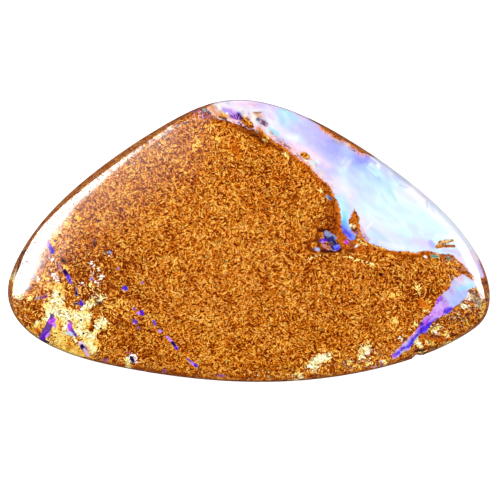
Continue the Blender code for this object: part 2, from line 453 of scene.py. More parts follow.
# %% [markdown]
# ## Marks
# Everything else that can be seen on the stone is a mark of some size: a violet fleck, a cream patch, a
# cloud of colour inside the opal. One tool draws them all: a stroke from one place to another with a
# radius, full strength inside and fading out past it. Places are plan positions in millimetres.

# %% The stroke tool
def stroke(places, mark, crisp=4):
    """Strength of one mark (x, y, x, y, radius, ...): near 1 inside it and a half at its radius."""
    ax, ay, bx, by, radius = mark[:5]
    squared = max((bx - ax) ** 2 + (by - ay) ** 2, 1e-9)
    share = np.clip(((places[:, 0] - ax) * (bx - ax) + (places[:, 1] - ay) * (by - ay)) / squared, 0, 1)
    away = np.hypot(places[:, 0] - ax - share * (bx - ax), places[:, 1] - ay - share * (by - ay))
    return 1 / (1 + (away / radius) ** crisp)


def strokes(places, marks, crisp=4):
    """The strongest of several marks at each place."""
    return np.max([stroke(places, mark, crisp) for mark in marks], axis=0)


def linear(colour):
    """Red, green and blue from 0 to 255, turned into the linear values that shaders use."""
    share = np.array(colour, float) / 255
    return np.where(share <= 0.04045, share / 12.92, ((share + 0.055) / 1.055) ** 2.4)


def lay_over(places, marks, colour, cover, crisp):
    """Lays marks (x, y, x, y, radius, colour, strength) in order on a colour and on its cover.

    A mark whose colour is "bare" rubs out what lies there.
    """
    for mark in marks:
        share = stroke(places, mark, crisp) * mark[6]
        colour *= 1 - share[:, None]
        cover *= 1 - share
        if mark[5] != "bare":
            colour += np.array(COLOURS[mark[5]]) * share[:, None]
            cover += share
    return colour, cover


print("mid brown in linear values:", linear((200, 120, 39)).round(3))

# %% Cut the islands out of the window
MARK_REACH = 0.4            # turns a mark's strength into a distance like the seams'
to_window = window          # kept whole, for the fringe and the rusty band that follow the border
window = np.minimum(window, MARK_REACH * (0.5 - strokes(points + 0.03 * wobble, ISLANDS)))
print("islands leave", int((window[on_dome] > 0).sum()), "points of opal in the window")

# %% [markdown]
# The border isn't one clean line. Along the upper left the opal soaked into the sand, so single peach
# grains are scattered in the first half millimetre of it. The mesh only says how thick they lie; the
# shader scatters them.

# %% How thick the grains lie inside the border
FRINGE_WIDTH = 0.70         # the grains thin out over this distance into the opal
FRINGE_FROM, FRINGE_FULL = 3.4, 4.9     # and start along this stretch of Y
fringe = (1 - ramp(to_window, 0, FRINGE_WIDTH)) * (to_window > -0.1)
fringe *= ramp(points[:, 1], FRINGE_FROM, FRINGE_FULL)
print("grains are scattered over", int((fringe[on_dome] > 0).sum()), "points")

# %% [markdown]
# ## Flecks of opal in the ironstone
# Away from the seams the opal has only found cracks and hollows: blades and bars at the left end, a
# broken chain of dots along the bottom, and a dark little pocket beside the window. They are opal too,
# so they join the same distance field and are polished with it.

# %% Named colours and the flecks
COLOURS = {
    "white": (252, 253, 255), "frost": (246, 247, 252), "pearl": (248, 243, 238),
    "cream white": (250, 246, 222), "aqua white": (218, 252, 254), "aqua": (182, 238, 252),
    "cyan": (142, 230, 248), "azure": (112, 188, 250), "sky": (168, 206, 252),
    "sky blue": (164, 184, 250), "pale sky": (196, 230, 250), "pale blue": (203, 218, 246),
    "sea glass": (184, 226, 230), "mint": (212, 242, 236), "sea grey": (142, 168, 172),
    "teal": (66, 150, 130), "lavender": (203, 197, 252), "pale lilac": (232, 222, 248),
    "periwinkle": (164, 166, 248), "dusk blue": (142, 148, 196), "heather": (176, 140, 226),
    "pale heather": (196, 188, 228), "heather dark": (112, 66, 150), "lilac": (222, 184, 240),
    "pink": (246, 216, 236), "dusty rose": (220, 168, 190), "dusk pink": (184, 150, 184),
    "dusky pink": (206, 140, 130), "orchid": (212, 138, 250), "pale orchid": (224, 168, 250),
    "hot orchid": (196, 76, 240), "violet orchid": (168, 76, 226), "violet": (94, 26, 196),
    "amethyst": (116, 62, 172), "indigo": (72, 44, 226), "royal": (104, 112, 250), "night": (58, 32, 112),
    "night blue": (44, 46, 104), "ink": (32, 6, 74), "plum": (112, 76, 116), "wine": (110, 44, 72),
    "mauve": (158, 82, 128), "magenta mauve": (164, 60, 130), "magenta": (208, 50, 196),
    "slate": (92, 88, 122), "steel": (138, 144, 156), "peach": (226, 158, 116),
    "terracotta": (206, 116, 76), "cream": (255, 252, 206), "shell": (250, 234, 212),
    "straw": (255, 222, 122), "gold": (248, 182, 70), "ochre": (206, 122, 26), "tan": (222, 158, 84),
    "greige": (196, 166, 122), "bright rust": (214, 108, 14), "amber": (236, 142, 30),
    "rust": (192, 92, 14), "dark peach": (198, 138, 104), "sienna": (154, 78, 36), "umber": (112, 48, 6),
    "iron": (62, 24, 12), "black iron": (44, 24, 26), "bark": (92, 66, 48), "shade": (126, 112, 116),
    "rosy sand": (206, 138, 110), "lilac sand": (168, 104, 128), "moss": (88, 112, 70),
    "moss sand": (172, 160, 110), "moss gold": (196, 164, 62),
    # painted light: colours brighter than a white card, to lift the shade on glass that leans away from the
    # light
    "painted-light white": (272, 270, 275), "painted-light blue": (240, 248, 275), "painted-light lilac": (256, 236, 275),
    "painted-light rose": (255, 222, 250),
}
FLECKS = (
    # the blades and bars at the left end
    (-15.03, -0.09, -14.62, -0.87, 0.14, "violet"), (-15.06, -0.16, -14.84, -0.39, 0.11, "hot orchid"),
    (-14.81, -0.42, -14.59, -0.80, 0.10, "indigo"), (-14.87, -0.76, -14.78, -1.10, 0.08, "dusky pink"),
    (-13.72, -2.21, -13.50, -2.59, 0.14, "ink"), (-13.50, -2.62, -13.25, -3.10, 0.13, "violet"),
    (-13.40, -2.74, -13.28, -2.89, 0.07, "indigo"), (-12.85, -3.55, -12.84, -3.70, 0.07, "mauve"),
    (-12.84, -3.78, -12.80, -4.00, 0.10, "ink"), (-12.49, -4.57, -12.43, -4.71, 0.15, "violet"),
    (-12.95, -4.69, -12.80, -4.68, 0.10, "ink"), (-15.33, -4.23, -15.12, -4.16, 0.13, "magenta mauve"),
    (-15.78, -4.31, -15.66, -4.26, 0.10, "steel"), (-16.45, -3.41, -16.40, -3.55, 0.12, "dusk blue"),
    (-14.63, -5.53, -14.74, -5.80, 0.12, "slate"), (-15.41, -7.27, -14.70, -5.97, 0.25, "amethyst"),
    (-15.18, -6.72, -14.77, -6.20, 0.19, "heather dark"),
    (-14.77, -6.09, -14.54, -5.90, 0.17, "hot orchid"), (-14.53, -6.20, -14.44, -6.39, 0.11, "orchid"),
    (-15.38, -7.27, -15.05, -6.90, 0.13, "violet"), (-15.08, -7.14, -14.91, -6.94, 0.10, "orchid"),
    (-15.29, -7.48, -14.96, -7.57, 0.07, "ink"), (-13.42, -5.97, -13.22, -6.15, 0.09, "mauve"),
    (-13.34, -6.32, -13.29, -6.62, 0.18, "hot orchid"), (-13.16, -6.62, -12.90, -7.09, 0.10, "amethyst"),
    (-13.45, -6.85, -13.22, -6.97, 0.14, "pale blue"), (-12.53, -7.69, -12.35, -7.76, 0.19, "pink"),
    (-12.44, -7.87, -12.35, -8.00, 0.16, "ink"), (-12.25, -8.11, -12.01, -8.54, 0.11, "lilac"),
    (-12.13, -7.87, -11.98, -8.21, 0.06, "dusky pink"),
    # loose dots and the broken chain along the lower left
    (-9.24, -3.47, -9.13, -3.56, 0.16, "indigo"), (-9.42, -3.55, -9.34, -3.58, 0.08, "amethyst"),
    (-7.99, -3.13, -7.94, -3.13, 0.10, "mauve"), (-8.54, -5.06, -8.48, -5.06, 0.10, "magenta mauve"),
    (-7.97, -5.30, -7.93, -5.42, 0.16, "violet"), (-8.28, -5.41, -8.18, -5.38, 0.09, "orchid"),
    (-8.52, -5.95, -8.40, -6.05, 0.16, "amethyst"), (-8.58, -6.11, -8.51, -6.14, 0.07, "orchid"),
    (-8.21, -6.45, -8.17, -6.53, 0.10, "mauve"), (-8.78, -8.69, -8.61, -8.93, 0.11, "ink"),
    (-8.78, -9.03, -8.70, -9.06, 0.06, "dusk blue"), (-10.79, -8.88, -10.64, -8.93, 0.13, "mauve"),
    (-8.98, -8.33, -8.93, -8.34, 0.09, "mauve"), (-7.08, -5.97, -6.94, -6.23, 0.10, "amethyst"),
    (-6.66, -6.71, -6.53, -6.73, 0.11, "orchid"), (-6.06, -7.17, -5.77, -7.51, 0.09, "orchid"),
    (-5.66, -7.60, -5.53, -7.79, 0.13, "ink"), (-5.45, -7.91, -5.35, -8.05, 0.11, "violet"),
    (-4.57, -8.81, -4.35, -9.00, 0.07, "amethyst"), (-4.21, -9.12, -4.13, -9.21, 0.13, "orchid"),
    (-4.01, -9.24, -3.92, -9.37, 0.11, "violet"), (-6.39, -9.66, -6.29, -9.74, 0.12, "mauve"),
    (-2.25, -10.04, -1.92, -10.09, 0.10, "mauve"), (-10.39, -0.86, -10.30, -0.91, 0.11, "dusk blue"),
    (-9.74, -2.05, -9.74, -2.08, 0.08, "indigo"), (-11.71, -2.79, -11.65, -2.88, 0.09, "amethyst"),
    (9.80, -8.95, 9.89, -8.98, 0.07, "lilac"), (9.95, -9.18, 9.91, -9.37, 0.08, "mauve"),
    (9.22, -9.45, 9.52, -9.40, 0.07, "dusky pink"), (-3.37, 9.33, -3.31, 9.22, 0.09, "magenta mauve"),
    # the dark little pocket by the throat
    (5.75, 0.58, 6.35, 0.21, 0.18, "dusk blue"), (6.12, 0.21, 6.42, -0.24, 0.16, "night blue"),
    (5.60, 0.36, 5.97, -0.09, 0.10, "night blue"), (5.87, 0.58, 6.02, 0.39, 0.10, "dusk blue"),
    (5.38, 0.01, 5.75, 0.04, 0.13, "violet"), (5.41, -0.06, 5.53, -0.10, 0.08, "orchid"),
    (5.71, -0.39, 6.00, -0.54, 0.14, "terracotta"), (5.50, -0.31, 5.65, -0.39, 0.09, "dusky pink"),
    (6.35, -0.57, 6.65, -0.46, 0.17, "royal"), (6.53, -0.64, 6.68, -0.57, 0.09, "indigo"),
    (6.17, -0.39, 6.32, -0.64, 0.09, "night blue"), (4.96, -0.61, 5.19, -0.64, 0.13, "dusk blue"),
    (5.10, -0.61, 5.17, -0.64, 0.06, "pale blue"), (7.20, -0.06, 7.29, -0.16, 0.14, "magenta"),
    (7.94, -0.42, 8.06, -0.33, 0.09, "pearl"), (8.02, 0.66, 8.06, 0.58, 0.07, "magenta mauve"),
    (5.86, 3.29, 6.12, 3.10, 0.11, "slate"), (5.75, 3.31, 5.83, 3.26, 0.08, "steel"),
    # glints in the rusty border on the right
    (13.62, -1.13, 14.02, -1.19, 0.10, "teal"), (14.80, -1.27, 14.99, -1.33, 0.09, "moss"),
    (13.11, -1.16, 13.20, -1.21, 0.09, "pearl"), (0.54, 8.25, 0.64, 8.15, 0.11, "moss"),
    # the cold line under the left tip of the window
    (-3.37, 9.83, -3.15, 9.71, 0.12, "sea grey"), (-3.08, 9.67, -2.82, 9.46, 0.11, "slate"),
    (-2.77, 9.42, -2.44, 9.19, 0.10, "bark"),
)

# %% Lay the flecks
close = points + 0.02 * wobble
fleck_strength = np.zeros(len(points))
fleck_colour = np.zeros((len(points), 3))
for fleck in FLECKS:
    strength = stroke(close, fleck, crisp=5)
    share = ramp(strength, 0.25, 0.60)[:, None]
    fleck_colour = fleck_colour * (1 - share) + np.array(COLOURS[fleck[5]]) * share
    fleck_strength = np.maximum(fleck_strength, strength)
print(len(FLECKS), "flecks cover", int((fleck_strength[on_dome] > 0.5).sum()), "points of the face")

# %% [markdown]
# ## Colour inside the opal
# Precious opal splits light in layers of tiny silica spheres, and each patch of layers answers with its
# own colour. Seen close, the colours are clouds with soft edges, laid over each other, with thin
# streaks where the layers broke. They are painted the same way: a list of strokes, the broad ones
# first, each mixed over what is there.

# %% The clouds, in the order they are laid
OPAL_BASE = "lavender"
OPAL_CLOUDS = (
    # the broad clouds first
    (10.89, 2.67, 14.62, 0.95, 3.13, "aqua white", 1),
    (10.15, 3.78, 12.01, 4.83, 1.34, "aqua white", 0.8),
    (5.16, 7.88, 6.50, 6.62, 0.97, "periwinkle", 0.6), (5.45, 7.36, 6.35, 6.76, 0.52, "periwinkle", 0.8),
    (5.53, 7.81, 5.60, 7.66, 0.30, "lilac", 0.5), (3.81, 8.85, 4.86, 7.96, 0.67, "lavender", 0.7),
    (7.69, 6.76, 8.43, 6.32, 0.45, "lavender", 0.7), (7.99, 5.57, 10.07, 4.83, 0.67, "sky", 0.9),
    (7.99, 6.17, 8.95, 6.17, 0.48, "periwinkle", 0.95), (8.28, 6.02, 8.73, 6.02, 0.22, "royal", 0.25),
    (6.42, 7.44, 7.02, 7.29, 0.19, "dusk blue", 0.6), (7.09, 6.76, 7.54, 6.17, 0.30, "sky", 0.4),
    # the left tip: peach and pearl, a knot of violets, then lilac
    (-2.52, 10.19, 0.24, 9.74, 0.60, "pearl", 1), (-1.85, 10.42, -1.55, 10.34, 0.11, "steel", 0.5),
    (-1.48, 10.27, -0.80, 10.27, 0.22, "pale lilac", 0.8), (-0.73, 10.27, 0.01, 10.27, 0.27, "pink", 0.9),
    (0.09, 10.38, 0.54, 10.27, 0.16, "dusty rose", 0.8), (0.54, 10.19, 1.73, 9.97, 0.31, "lilac", 1),
    (-3.19, 10.12, -2.44, 9.33, 0.28, "peach", 1), (-3.04, 10.12, -2.74, 9.97, 0.15, "terracotta", 0.5),
    (-2.48, 9.97, -2.41, 9.82, 0.11, "steel", 0.7), (-2.29, 10.04, -2.22, 9.74, 0.15, "pearl", 0.9),
    (-1.92, 9.74, -1.40, 9.60, 0.22, "heather", 0.9), (-1.85, 9.67, -1.70, 9.60, 0.13, "periwinkle", 0.9),
    (-1.33, 9.74, -1.25, 9.52, 0.11, "orchid", 0.8), (-1.65, 9.48, -1.58, 9.51, 0.08, "white", 1),
    (-1.33, 9.45, -0.73, 9.37, 0.24, "heather", 0.9), (-1.25, 9.22, -0.80, 9.11, 0.15, "amethyst", 0.9),
    (-0.98, 9.13, -0.80, 9.19, 0.14, "violet", 1), (-0.73, 9.41, -0.62, 9.19, 0.14, "night", 0.95),
    (-1.18, 9.10, -1.03, 9.09, 0.07, "magenta", 0.5), (-0.51, 9.22, -0.28, 8.89, 0.12, "wine", 0.9),
    (-2.03, 9.52, -1.88, 9.30, 0.13, "straw", 0.9), (-1.77, 9.33, -1.55, 9.28, 0.10, "gold", 0.8),
    (-2.22, 9.60, -2.07, 9.22, 0.15, "peach", 0.9), (-1.48, 8.98, -0.66, 8.95, 0.09, "pink", 0.95),
    (-0.62, 8.85, -0.51, 8.75, 0.17, "night", 1), (-0.36, 9.30, -0.21, 9.22, 0.11, "straw", 0.7),
    (-0.43, 9.60, -0.36, 9.52, 0.10, "steel", 0.4), (-0.21, 8.85, 0.09, 8.66, 0.18, "terracotta", 0.9),
    (-0.13, 9.19, 0.01, 9.00, 0.08, "wine", 0.6), (-0.02, 9.52, 0.09, 9.22, 0.10, "dusty rose", 0.8),
    (0.24, 9.41, 0.57, 8.81, 0.22, "cream white", 1), (0.57, 9.45, 0.91, 9.19, 0.14, "peach", 0.8),
    (0.39, 9.55, 0.91, 9.54, 0.07, "umber", 0.5), (1.06, 9.48, 1.17, 9.15, 0.09, "dusty rose", 0.5),
    (0.65, 9.07, 1.24, 8.66, 0.13, "slate", 0.95), (0.98, 8.89, 1.28, 8.66, 0.15, "plum", 0.8),
    (0.65, 8.89, 0.83, 8.70, 0.09, "sky", 0.7), (1.13, 8.40, 1.43, 8.07, 0.22, "aqua white", 0.9),
    # the small slate stroke beside the cyan is a painted shadow line
    (1.62, 8.25, 2.10, 7.96, 0.17, "cyan", 0.8), (1.69, 8.06, 1.80, 7.96, 0.07, "slate", 0.5),
    # the upper middle: a lilac cloud, an aqua pool, a frosted band along the border
    (1.28, 9.60, 2.03, 9.07, 0.41, "pale lilac", 0.9), (1.58, 9.30, 1.80, 9.15, 0.19, "lilac", 0.5),
    (2.77, 9.60, 3.67, 9.22, 0.45, "aqua", 1), (2.47, 9.15, 2.85, 8.55, 0.37, "aqua", 0.85),
    (2.25, 9.67, 2.55, 8.85, 0.19, "sky", 0.6), (1.73, 9.00, 2.18, 8.48, 0.30, "pearl", 0.9),
    (1.88, 8.40, 3.52, 7.66, 0.34, "frost", 1), (2.55, 8.18, 2.85, 8.03, 0.22, "pink", 0.35),
    (3.67, 9.52, 4.11, 9.15, 0.22, "lilac", 0.8), (3.44, 8.48, 4.11, 7.96, 0.37, "lavender", 0.5),
    (3.74, 7.66, 4.04, 7.29, 0.30, "aqua white", 0.6), (2.10, 7.48, 2.55, 7.42, 0.16, "dusk blue", 0.85),
    (2.47, 7.32, 3.11, 6.91, 0.11, "wine", 0.6), (2.62, 7.17, 3.22, 6.69, 0.09, "mauve", 0.5),
    (2.10, 7.32, 2.40, 7.17, 0.07, "frost", 0.9), (3.37, 7.21, 4.04, 6.69, 0.28, "pink", 0.9),
    (4.04, 6.84, 5.01, 6.17, 0.34, "pink", 0.85), (5.01, 6.17, 5.83, 5.50, 0.27, "pink", 0.8),
    (3.29, 6.76, 3.74, 6.32, 0.13, "pale lilac", 0.7), (3.63, 6.35, 4.00, 5.98, 0.09, "slate", 0.8),
    (4.11, 5.99, 4.30, 5.95, 0.12, "cream white", 0.9), (4.63, 5.87, 4.89, 5.54, 0.16, "mint", 0.9),
    (5.01, 6.02, 5.23, 5.80, 0.10, "aqua white", 0.7), (5.16, 5.42, 5.38, 5.27, 0.10, "mint", 0.7),
    (5.30, 5.24, 5.60, 5.05, 0.10, "peach", 0.5), (5.45, 5.13, 5.90, 4.23, 0.19, "pearl", 0.6),
    (5.90, 5.13, 5.97, 4.68, 0.15, "lavender", 0.6), (6.05, 4.68, 6.50, 3.78, 0.25, "pale lilac", 0.8),
    (5.83, 4.31, 6.05, 3.78, 0.10, "peach", 0.6),
    # the fan of pale streaks under the upper rim
    (7.02, 5.27, 7.09, 4.01, 0.34, "aqua white", 0.85), (7.17, 5.50, 7.50, 5.98, 0.18, "white", 0.5),
    (6.94, 5.80, 7.24, 6.24, 0.09, "aqua white", 0.5), (6.65, 4.23, 7.54, 3.34, 0.45, "pale lilac", 0.8),
    (7.09, 3.93, 7.32, 3.56, 0.30, "pearl", 0.6), (9.16, 6.17, 9.70, 5.53, 0.13, "white", 1),
    (9.03, 6.21, 9.48, 5.72, 0.07, "royal", 0.5), (8.73, 6.35, 8.95, 6.24, 0.09, "royal", 0.5),
    (9.10, 5.72, 9.85, 5.01, 0.10, "aqua white", 0.8), (8.95, 5.54, 9.63, 4.90, 0.09, "aqua white", 0.7),
    # the plum stroke is a painted shadow under the ironstone sliver at the upper rim
    (9.48, 5.20, 10.22, 4.68, 0.12, "aqua", 0.6), (7.54, 7.03, 8.14, 6.66, 0.13, "plum", 0.6),
    (8.14, 6.73, 8.88, 6.39, 0.12, "heather", 0.6), (10.07, 5.13, 11.12, 4.64, 0.16, "pale blue", 0.8),
    (9.92, 5.50, 10.37, 5.20, 0.10, "lavender", 0.7), (10.07, 4.75, 10.44, 3.56, 0.19, "pale sky", 0.8),
    # the grey-blue sea glass stroke is a painted shadow line
    (10.37, 4.08, 10.89, 3.11, 0.12, "sea glass", 0.7), (9.92, 3.49, 10.30, 2.89, 0.13, "pale sky", 0.6),
    (10.74, 4.60, 11.26, 4.23, 0.12, "pale sky", 0.5), (7.84, 4.38, 9.18, 3.93, 0.30, "pale sky", 0.6),
    (8.43, 4.83, 8.58, 4.38, 0.22, "aqua white", 0.6), (11.34, 4.16, 11.86, 4.01, 0.07, "steel", 0.3),
    (12.16, 1.92, 14.24, 1.40, 0.60, "mint", 0.35), (11.26, 3.34, 12.75, 2.89, 0.45, "white", 0.4),
    (9.18, 2.44, 10.07, 2.00, 0.37, "aqua white", 0.8),
    # the rim along the top and the right end, cooler and lilac as it rolls over, with strokes brighter than
    # the glass as painted light that lifts the shade where the face rolls away
    (-3.19, 10.27, -0.95, 10.49, 0.12, "painted-light lilac", 0.6),
    (-0.95, 10.49, 1.28, 10.31, 0.12, "painted-light lilac", 0.6),
    (1.28, 10.31, 3.81, 9.52, 0.12, "painted-light lilac", 0.6), (3.81, 9.52, 5.16, 8.93, 0.10, "painted-light lilac", 0.6),
    (9.63, 6.17, 12.16, 3.93, 0.30, "painted-light blue", 0.7), (12.16, 3.93, 15.88, 0.28, 0.37, "painted-light white", 0.8),
    (15.88, 0.28, 16.78, -1.21, 0.37, "painted-light white", 0.7),
    (10.67, 5.13, 12.01, 4.08, 0.15, "pale lilac", 0.4),
    (12.68, 3.71, 13.50, 3.04, 0.21, "painted-light lilac", 0.7), (13.28, 2.89, 14.32, 2.07, 0.24, "painted-light blue", 0.8),
    (14.32, 2.07, 15.88, 0.28, 0.21, "painted-light blue", 0.7),
    (13.24, 2.97, 13.31, 2.52, 0.09, "dusk blue", 0.35),
    (13.57, 2.67, 13.80, 2.29, 0.15, "periwinkle", 0.25), (13.80, 1.10, 14.69, 0.80, 0.30, "mint", 0.6),
    (16.03, 0.06, 16.70, -0.91, 0.22, "painted-light blue", 0.8),
    (16.63, -0.83, 16.85, -1.43, 0.19, "painted-light rose", 0.8),
    (16.85, -1.43, 17.22, -2.03, 0.18, "painted-light rose", 0.7),
    (17.15, -1.88, 17.60, -2.70, 0.19, "painted-light lilac", 0.9),
    (17.22, -1.58, 17.75, -2.77, 0.10, "heather", 0.6),
    # the lower border
    (8.43, 1.48, 9.03, 0.51, 0.37, "pale lilac", 0.9), (8.36, 0.95, 8.58, 0.36, 0.16, "dusty rose", 0.6),
    (8.55, 0.39, 8.88, 0.06, 0.16, "dusk pink", 0.75), (9.10, 0.51, 10.00, 0.06, 0.22, "aqua", 0.85),
    (8.88, 0.88, 9.18, 1.25, 0.07, "white", 0.8), (9.48, 1.25, 10.67, 0.36, 0.45, "pale lilac", 0.4),
    (9.77, -0.20, 11.56, -0.50, 0.18, "white", 0.6), (8.73, -0.21, 9.18, -0.13, 0.10, "aqua white", 0.8),
    (12.31, 0.06, 13.35, -0.39, 0.27, "pale lilac", 0.9), (13.05, -0.16, 13.28, -0.31, 0.13, "pink", 0.5),
    (13.54, -0.16, 13.76, -0.42, 0.18, "periwinkle", 0.7), (13.95, 0.36, 15.14, 0.21, 0.16, "white", 0.6),
    (14.54, -0.66, 15.44, -0.83, 0.13, "lavender", 0.8),
    (15.29, -0.91, 15.96, -1.58, 0.22, "pale lilac", 0.9),
    (15.44, -0.69, 15.73, -1.13, 0.15, "lavender", 0.6), (15.88, -1.58, 16.48, -2.32, 0.18, "pink", 0.8),
    # the throat beside the ironstone finger, cyan deepening to blue
    (6.79, 3.11, 7.09, 2.29, 0.30, "aqua", 0.9), (7.02, 2.07, 7.20, 1.62, 0.25, "cyan", 1),
    (7.06, 1.40, 7.17, 1.10, 0.27, "azure", 1), (6.91, 1.10, 7.06, 0.84, 0.16, "royal", 0.9),
    (7.09, 0.80, 7.76, 0.21, 0.27, "royal", 1), (7.17, 0.73, 7.54, 0.36, 0.12, "indigo", 0.5),
    (7.69, 0.31, 7.91, 0.13, 0.10, "azure", 0.6), (7.36, 2.00, 7.44, 1.48, 0.07, "sea glass", 0.8),
    (6.87, 2.37, 6.94, 1.62, 0.09, "aqua white", 0.6),
    # the wedge: pinkish white at its head, aqua and sky, then lilac, orchid and indigo to its point
    (15.51, -2.62, 16.18, -2.99, 0.33, "pink", 1),
    (15.14, -2.99, 15.44, -3.44, 0.24, "pale heather", 0.9),
    (14.91, -3.52, 15.29, -3.81, 0.19, "pale heather", 0.8),
    (15.96, -2.47, 16.55, -2.81, 0.07, "dusk pink", 0.7),
    (16.18, -2.92, 16.93, -3.52, 0.24, "aqua white", 0.9),
    (15.66, -3.64, 16.63, -3.37, 0.16, "cyan", 0.6), (15.29, -3.89, 15.96, -4.19, 0.45, "sky blue", 0.95),
    (14.62, -3.81, 14.99, -4.26, 0.25, "pale heather", 0.9),
    (14.32, -4.19, 14.69, -4.63, 0.18, "heather", 0.8),
    (14.99, -4.41, 15.59, -4.63, 0.24, "sky blue", 0.9),
    (13.95, -4.60, 14.24, -4.32, 0.16, "violet orchid", 1),
    (14.47, -4.71, 14.77, -5.01, 0.16, "orchid", 0.8), (14.69, -5.24, 15.03, -5.08, 0.20, "indigo", 0.85),
    (13.80, -5.23, 14.47, -5.45, 0.37, "orchid", 1), (13.57, -5.01, 13.80, -4.78, 0.15, "orchid", 0.9),
    (13.95, -5.08, 14.24, -4.86, 0.16, "pale orchid", 0.7),
    (13.05, -6.05, 13.57, -5.60, 0.24, "orchid", 1),
    (13.05, -6.24, 13.28, -5.97, 0.10, "hot orchid", 0.8),
    (13.42, -6.20, 14.02, -5.89, 0.13, "indigo", 0.9), (12.80, -6.12, 12.86, -6.17, 0.10, "night", 1),
    (12.83, -6.65, 13.35, -6.35, 0.31, "indigo", 1), (12.68, -6.27, 12.83, -6.65, 0.12, "violet", 0.7),
    (12.08, -7.24, 12.61, -6.38, 0.15, "orchid", 0.9), (12.20, -7.46, 12.58, -6.99, 0.09, "indigo", 0.9),
    (12.12, -7.32, 12.23, -7.39, 0.08, "night", 0.7), (11.79, -7.87, 12.08, -7.58, 0.21, "royal", 0.95),
    (11.86, -7.95, 12.12, -7.65, 0.11, "indigo", 0.8), (11.34, -7.91, 11.71, -7.66, 0.13, "lilac", 0.9),
    (11.26, -8.17, 11.56, -7.99, 0.13, "violet", 0.8), (10.97, -8.33, 11.26, -8.11, 0.11, "lilac", 0.8),
    (10.89, -8.58, 11.23, -8.36, 0.12, "indigo", 0.9),
    (10.56, -8.70, 10.89, -8.58, 0.12, "hot orchid", 0.8),
    (15.59, -2.70, 15.88, -2.89, 0.20, "dusty rose", 0.45),
    (15.21, -3.22, 15.51, -3.44, 0.21, "pale heather", 0.7),
    (14.91, -3.59, 15.14, -3.81, 0.18, "heather", 0.5),
)

# %% Lay the clouds
BROAD = 0.2                 # clouds with a larger radius melt into each other, smaller ones are firmer
BROAD_CRISP, SMALL_CRISP = 3.5, 6
drifted = points + 0.07 * drift + 0.03 * wobble
broad_clouds = [cloud for cloud in OPAL_CLOUDS if cloud[4] > BROAD]
small_clouds = [cloud for cloud in OPAL_CLOUDS if cloud[4] <= BROAD]
opal_colour = np.tile(np.array(COLOURS[OPAL_BASE], float), (len(points), 1))
for clouds, crisp in ((broad_clouds, BROAD_CRISP), (small_clouds, SMALL_CRISP)):
    opal_colour = lay_over(drifted, clouds, opal_colour, np.ones(len(points)), crisp)[0]
print(len(broad_clouds), "broad clouds and", len(small_clouds), "small ones")

# %% [markdown]
# Over the clouds lie faint veils, long thin streaks that all run one way, because the silica settled in
# sheets. They are noise stretched along that way. Dark and strong colours keep clear of them.

# %% Veils over the clouds
VEILS = (  # length, width, seed, colour, most cover
    (2.6, 0.50, 61, "white", 0.16), (1.5, 0.55, 62, "periwinkle", 0.18), (1.1, 0.40, 63, "pink", 0.12),
    (0.6, 0.30, 64, "white", 0.16),
)
ALONG_VEILS, ACROSS_VEILS = np.array((0.79, -0.61)), np.array((0.61, 0.79))
VEIL_CONTRAST = 1.6
PALE_FROM, PALE_FULL = 120, 190         # the darkest channel of a colour that takes veils
for size_along, size_across, seed, veil, most in VEILS:
    plan = drifted[:, :2]
    turned = (plan @ ALONG_VEILS / size_along, plan @ ACROSS_VEILS / size_across, 0 * plan[:, 0])
    streaks = field(np.column_stack(turned), 1.0, seed, layers=3)
    share = most * np.clip(streaks * VEIL_CONTRAST, 0, 1)
    share *= ramp(opal_colour.min(axis=1), PALE_FROM, PALE_FULL)
    opal_colour += (np.array(COLOURS[veil]) - opal_colour) * share[:, None]
print("veils laid:", len(VEILS))

# %% Bring the flecks in, and let every mark fade out raggedly down the wall
FADE_FROM, FADE_FULL = 1.7, 2.2         # heights between which marks fade
FADE_RAGGED = 1.2
BRIGHTEST = 275             # opal that leans away from the light is painted brighter than a white card
high_enough = ramp(points[:, 2] + FADE_RAGGED * field(points, 0.7, 57), FADE_FROM, FADE_FULL)
seams = np.maximum(window, wedge)
fleck_share = np.where(seams > 0, 0, ramp(fleck_strength, 0.2, 0.5))[:, None]
opal_colour = opal_colour * (1 - fleck_share) + fleck_colour * fleck_share
opal_colour = linear(np.clip(opal_colour, 0, BRIGHTEST))
opal_depth = np.maximum(seams, MARK_REACH * (fleck_strength * high_enough - 0.5))
print("mean opal colour", opal_colour[opal_depth > 0].mean(axis=0).round(2))

# %% [markdown]
# ## Stains in the ironstone
# Ironstone is sand cemented by iron oxide. Where little iron came in it stays cream or straw, where
# more came it is nearly black, and along the opal it rusts to a smooth orange band with a dark line
# beyond it. Stains are laid in order like the clouds, but on nothing, so their cover is kept as well:
# the shader lets single grains of sand decide where a half-covered place is stained and where it isn't,
# which gives the broken edges that real stains have.

# %% Where the sand is darker and coarser
WORN_POLISH = (-15.3, -3.6, -13.7, 0.9, 0.75)   # the left shoulder, just inside its bright rim
DARK_PATCHES = (  # from, to, radius, how dark
    (-13.17, -1.58, -10.19, -2.32, 1.04, 0.6), (-11.38, -1.58, -8.11, -2.03, 0.89, 0.5),
    (-13.32, -3.52, -11.68, -4.26, 0.60, 0.6), (-10.64, -2.92, -8.11, -3.96, 0.67, 0.6),
    (6.05, 1.40, 6.35, -0.69, 0.82, 0.6), (-16.30, -6.79, -15.26, -7.54, 0.30, 0.4),
    (-10.34, -6.05, -7.36, -8.14, 0.97, 0.4), (-17.05, -4.78, -15.26, -5.60, 0.45, 0.45),
    (0.09, 6.02, 2.32, 3.78, 1.04, 0.22), (9.77, -1.58, 14.24, -4.41, 1.19, 0.3),
    (14.24, -5.90, 16.93, -5.30, 0.74, 0.35), (-11.09, -5.90, -10.79, -8.14, 0.45, 0.4),
    (-9.60, -9.77, -5.87, -9.77, 0.37, 0.3), (-14.07, -1.13, -13.77, -2.32, 0.52, 0.4),
)
torn = points + 0.12 * drift + 0.08 * wobble
dark = np.max([stroke(torn, mark, crisp=3) * mark[5] for mark in DARK_PATCHES], axis=0)
worn = stroke(torn, WORN_POLISH, crisp=3)
print("darker sand on", round(100 * float((dark > 0.3).mean()), 1), "% of the points")

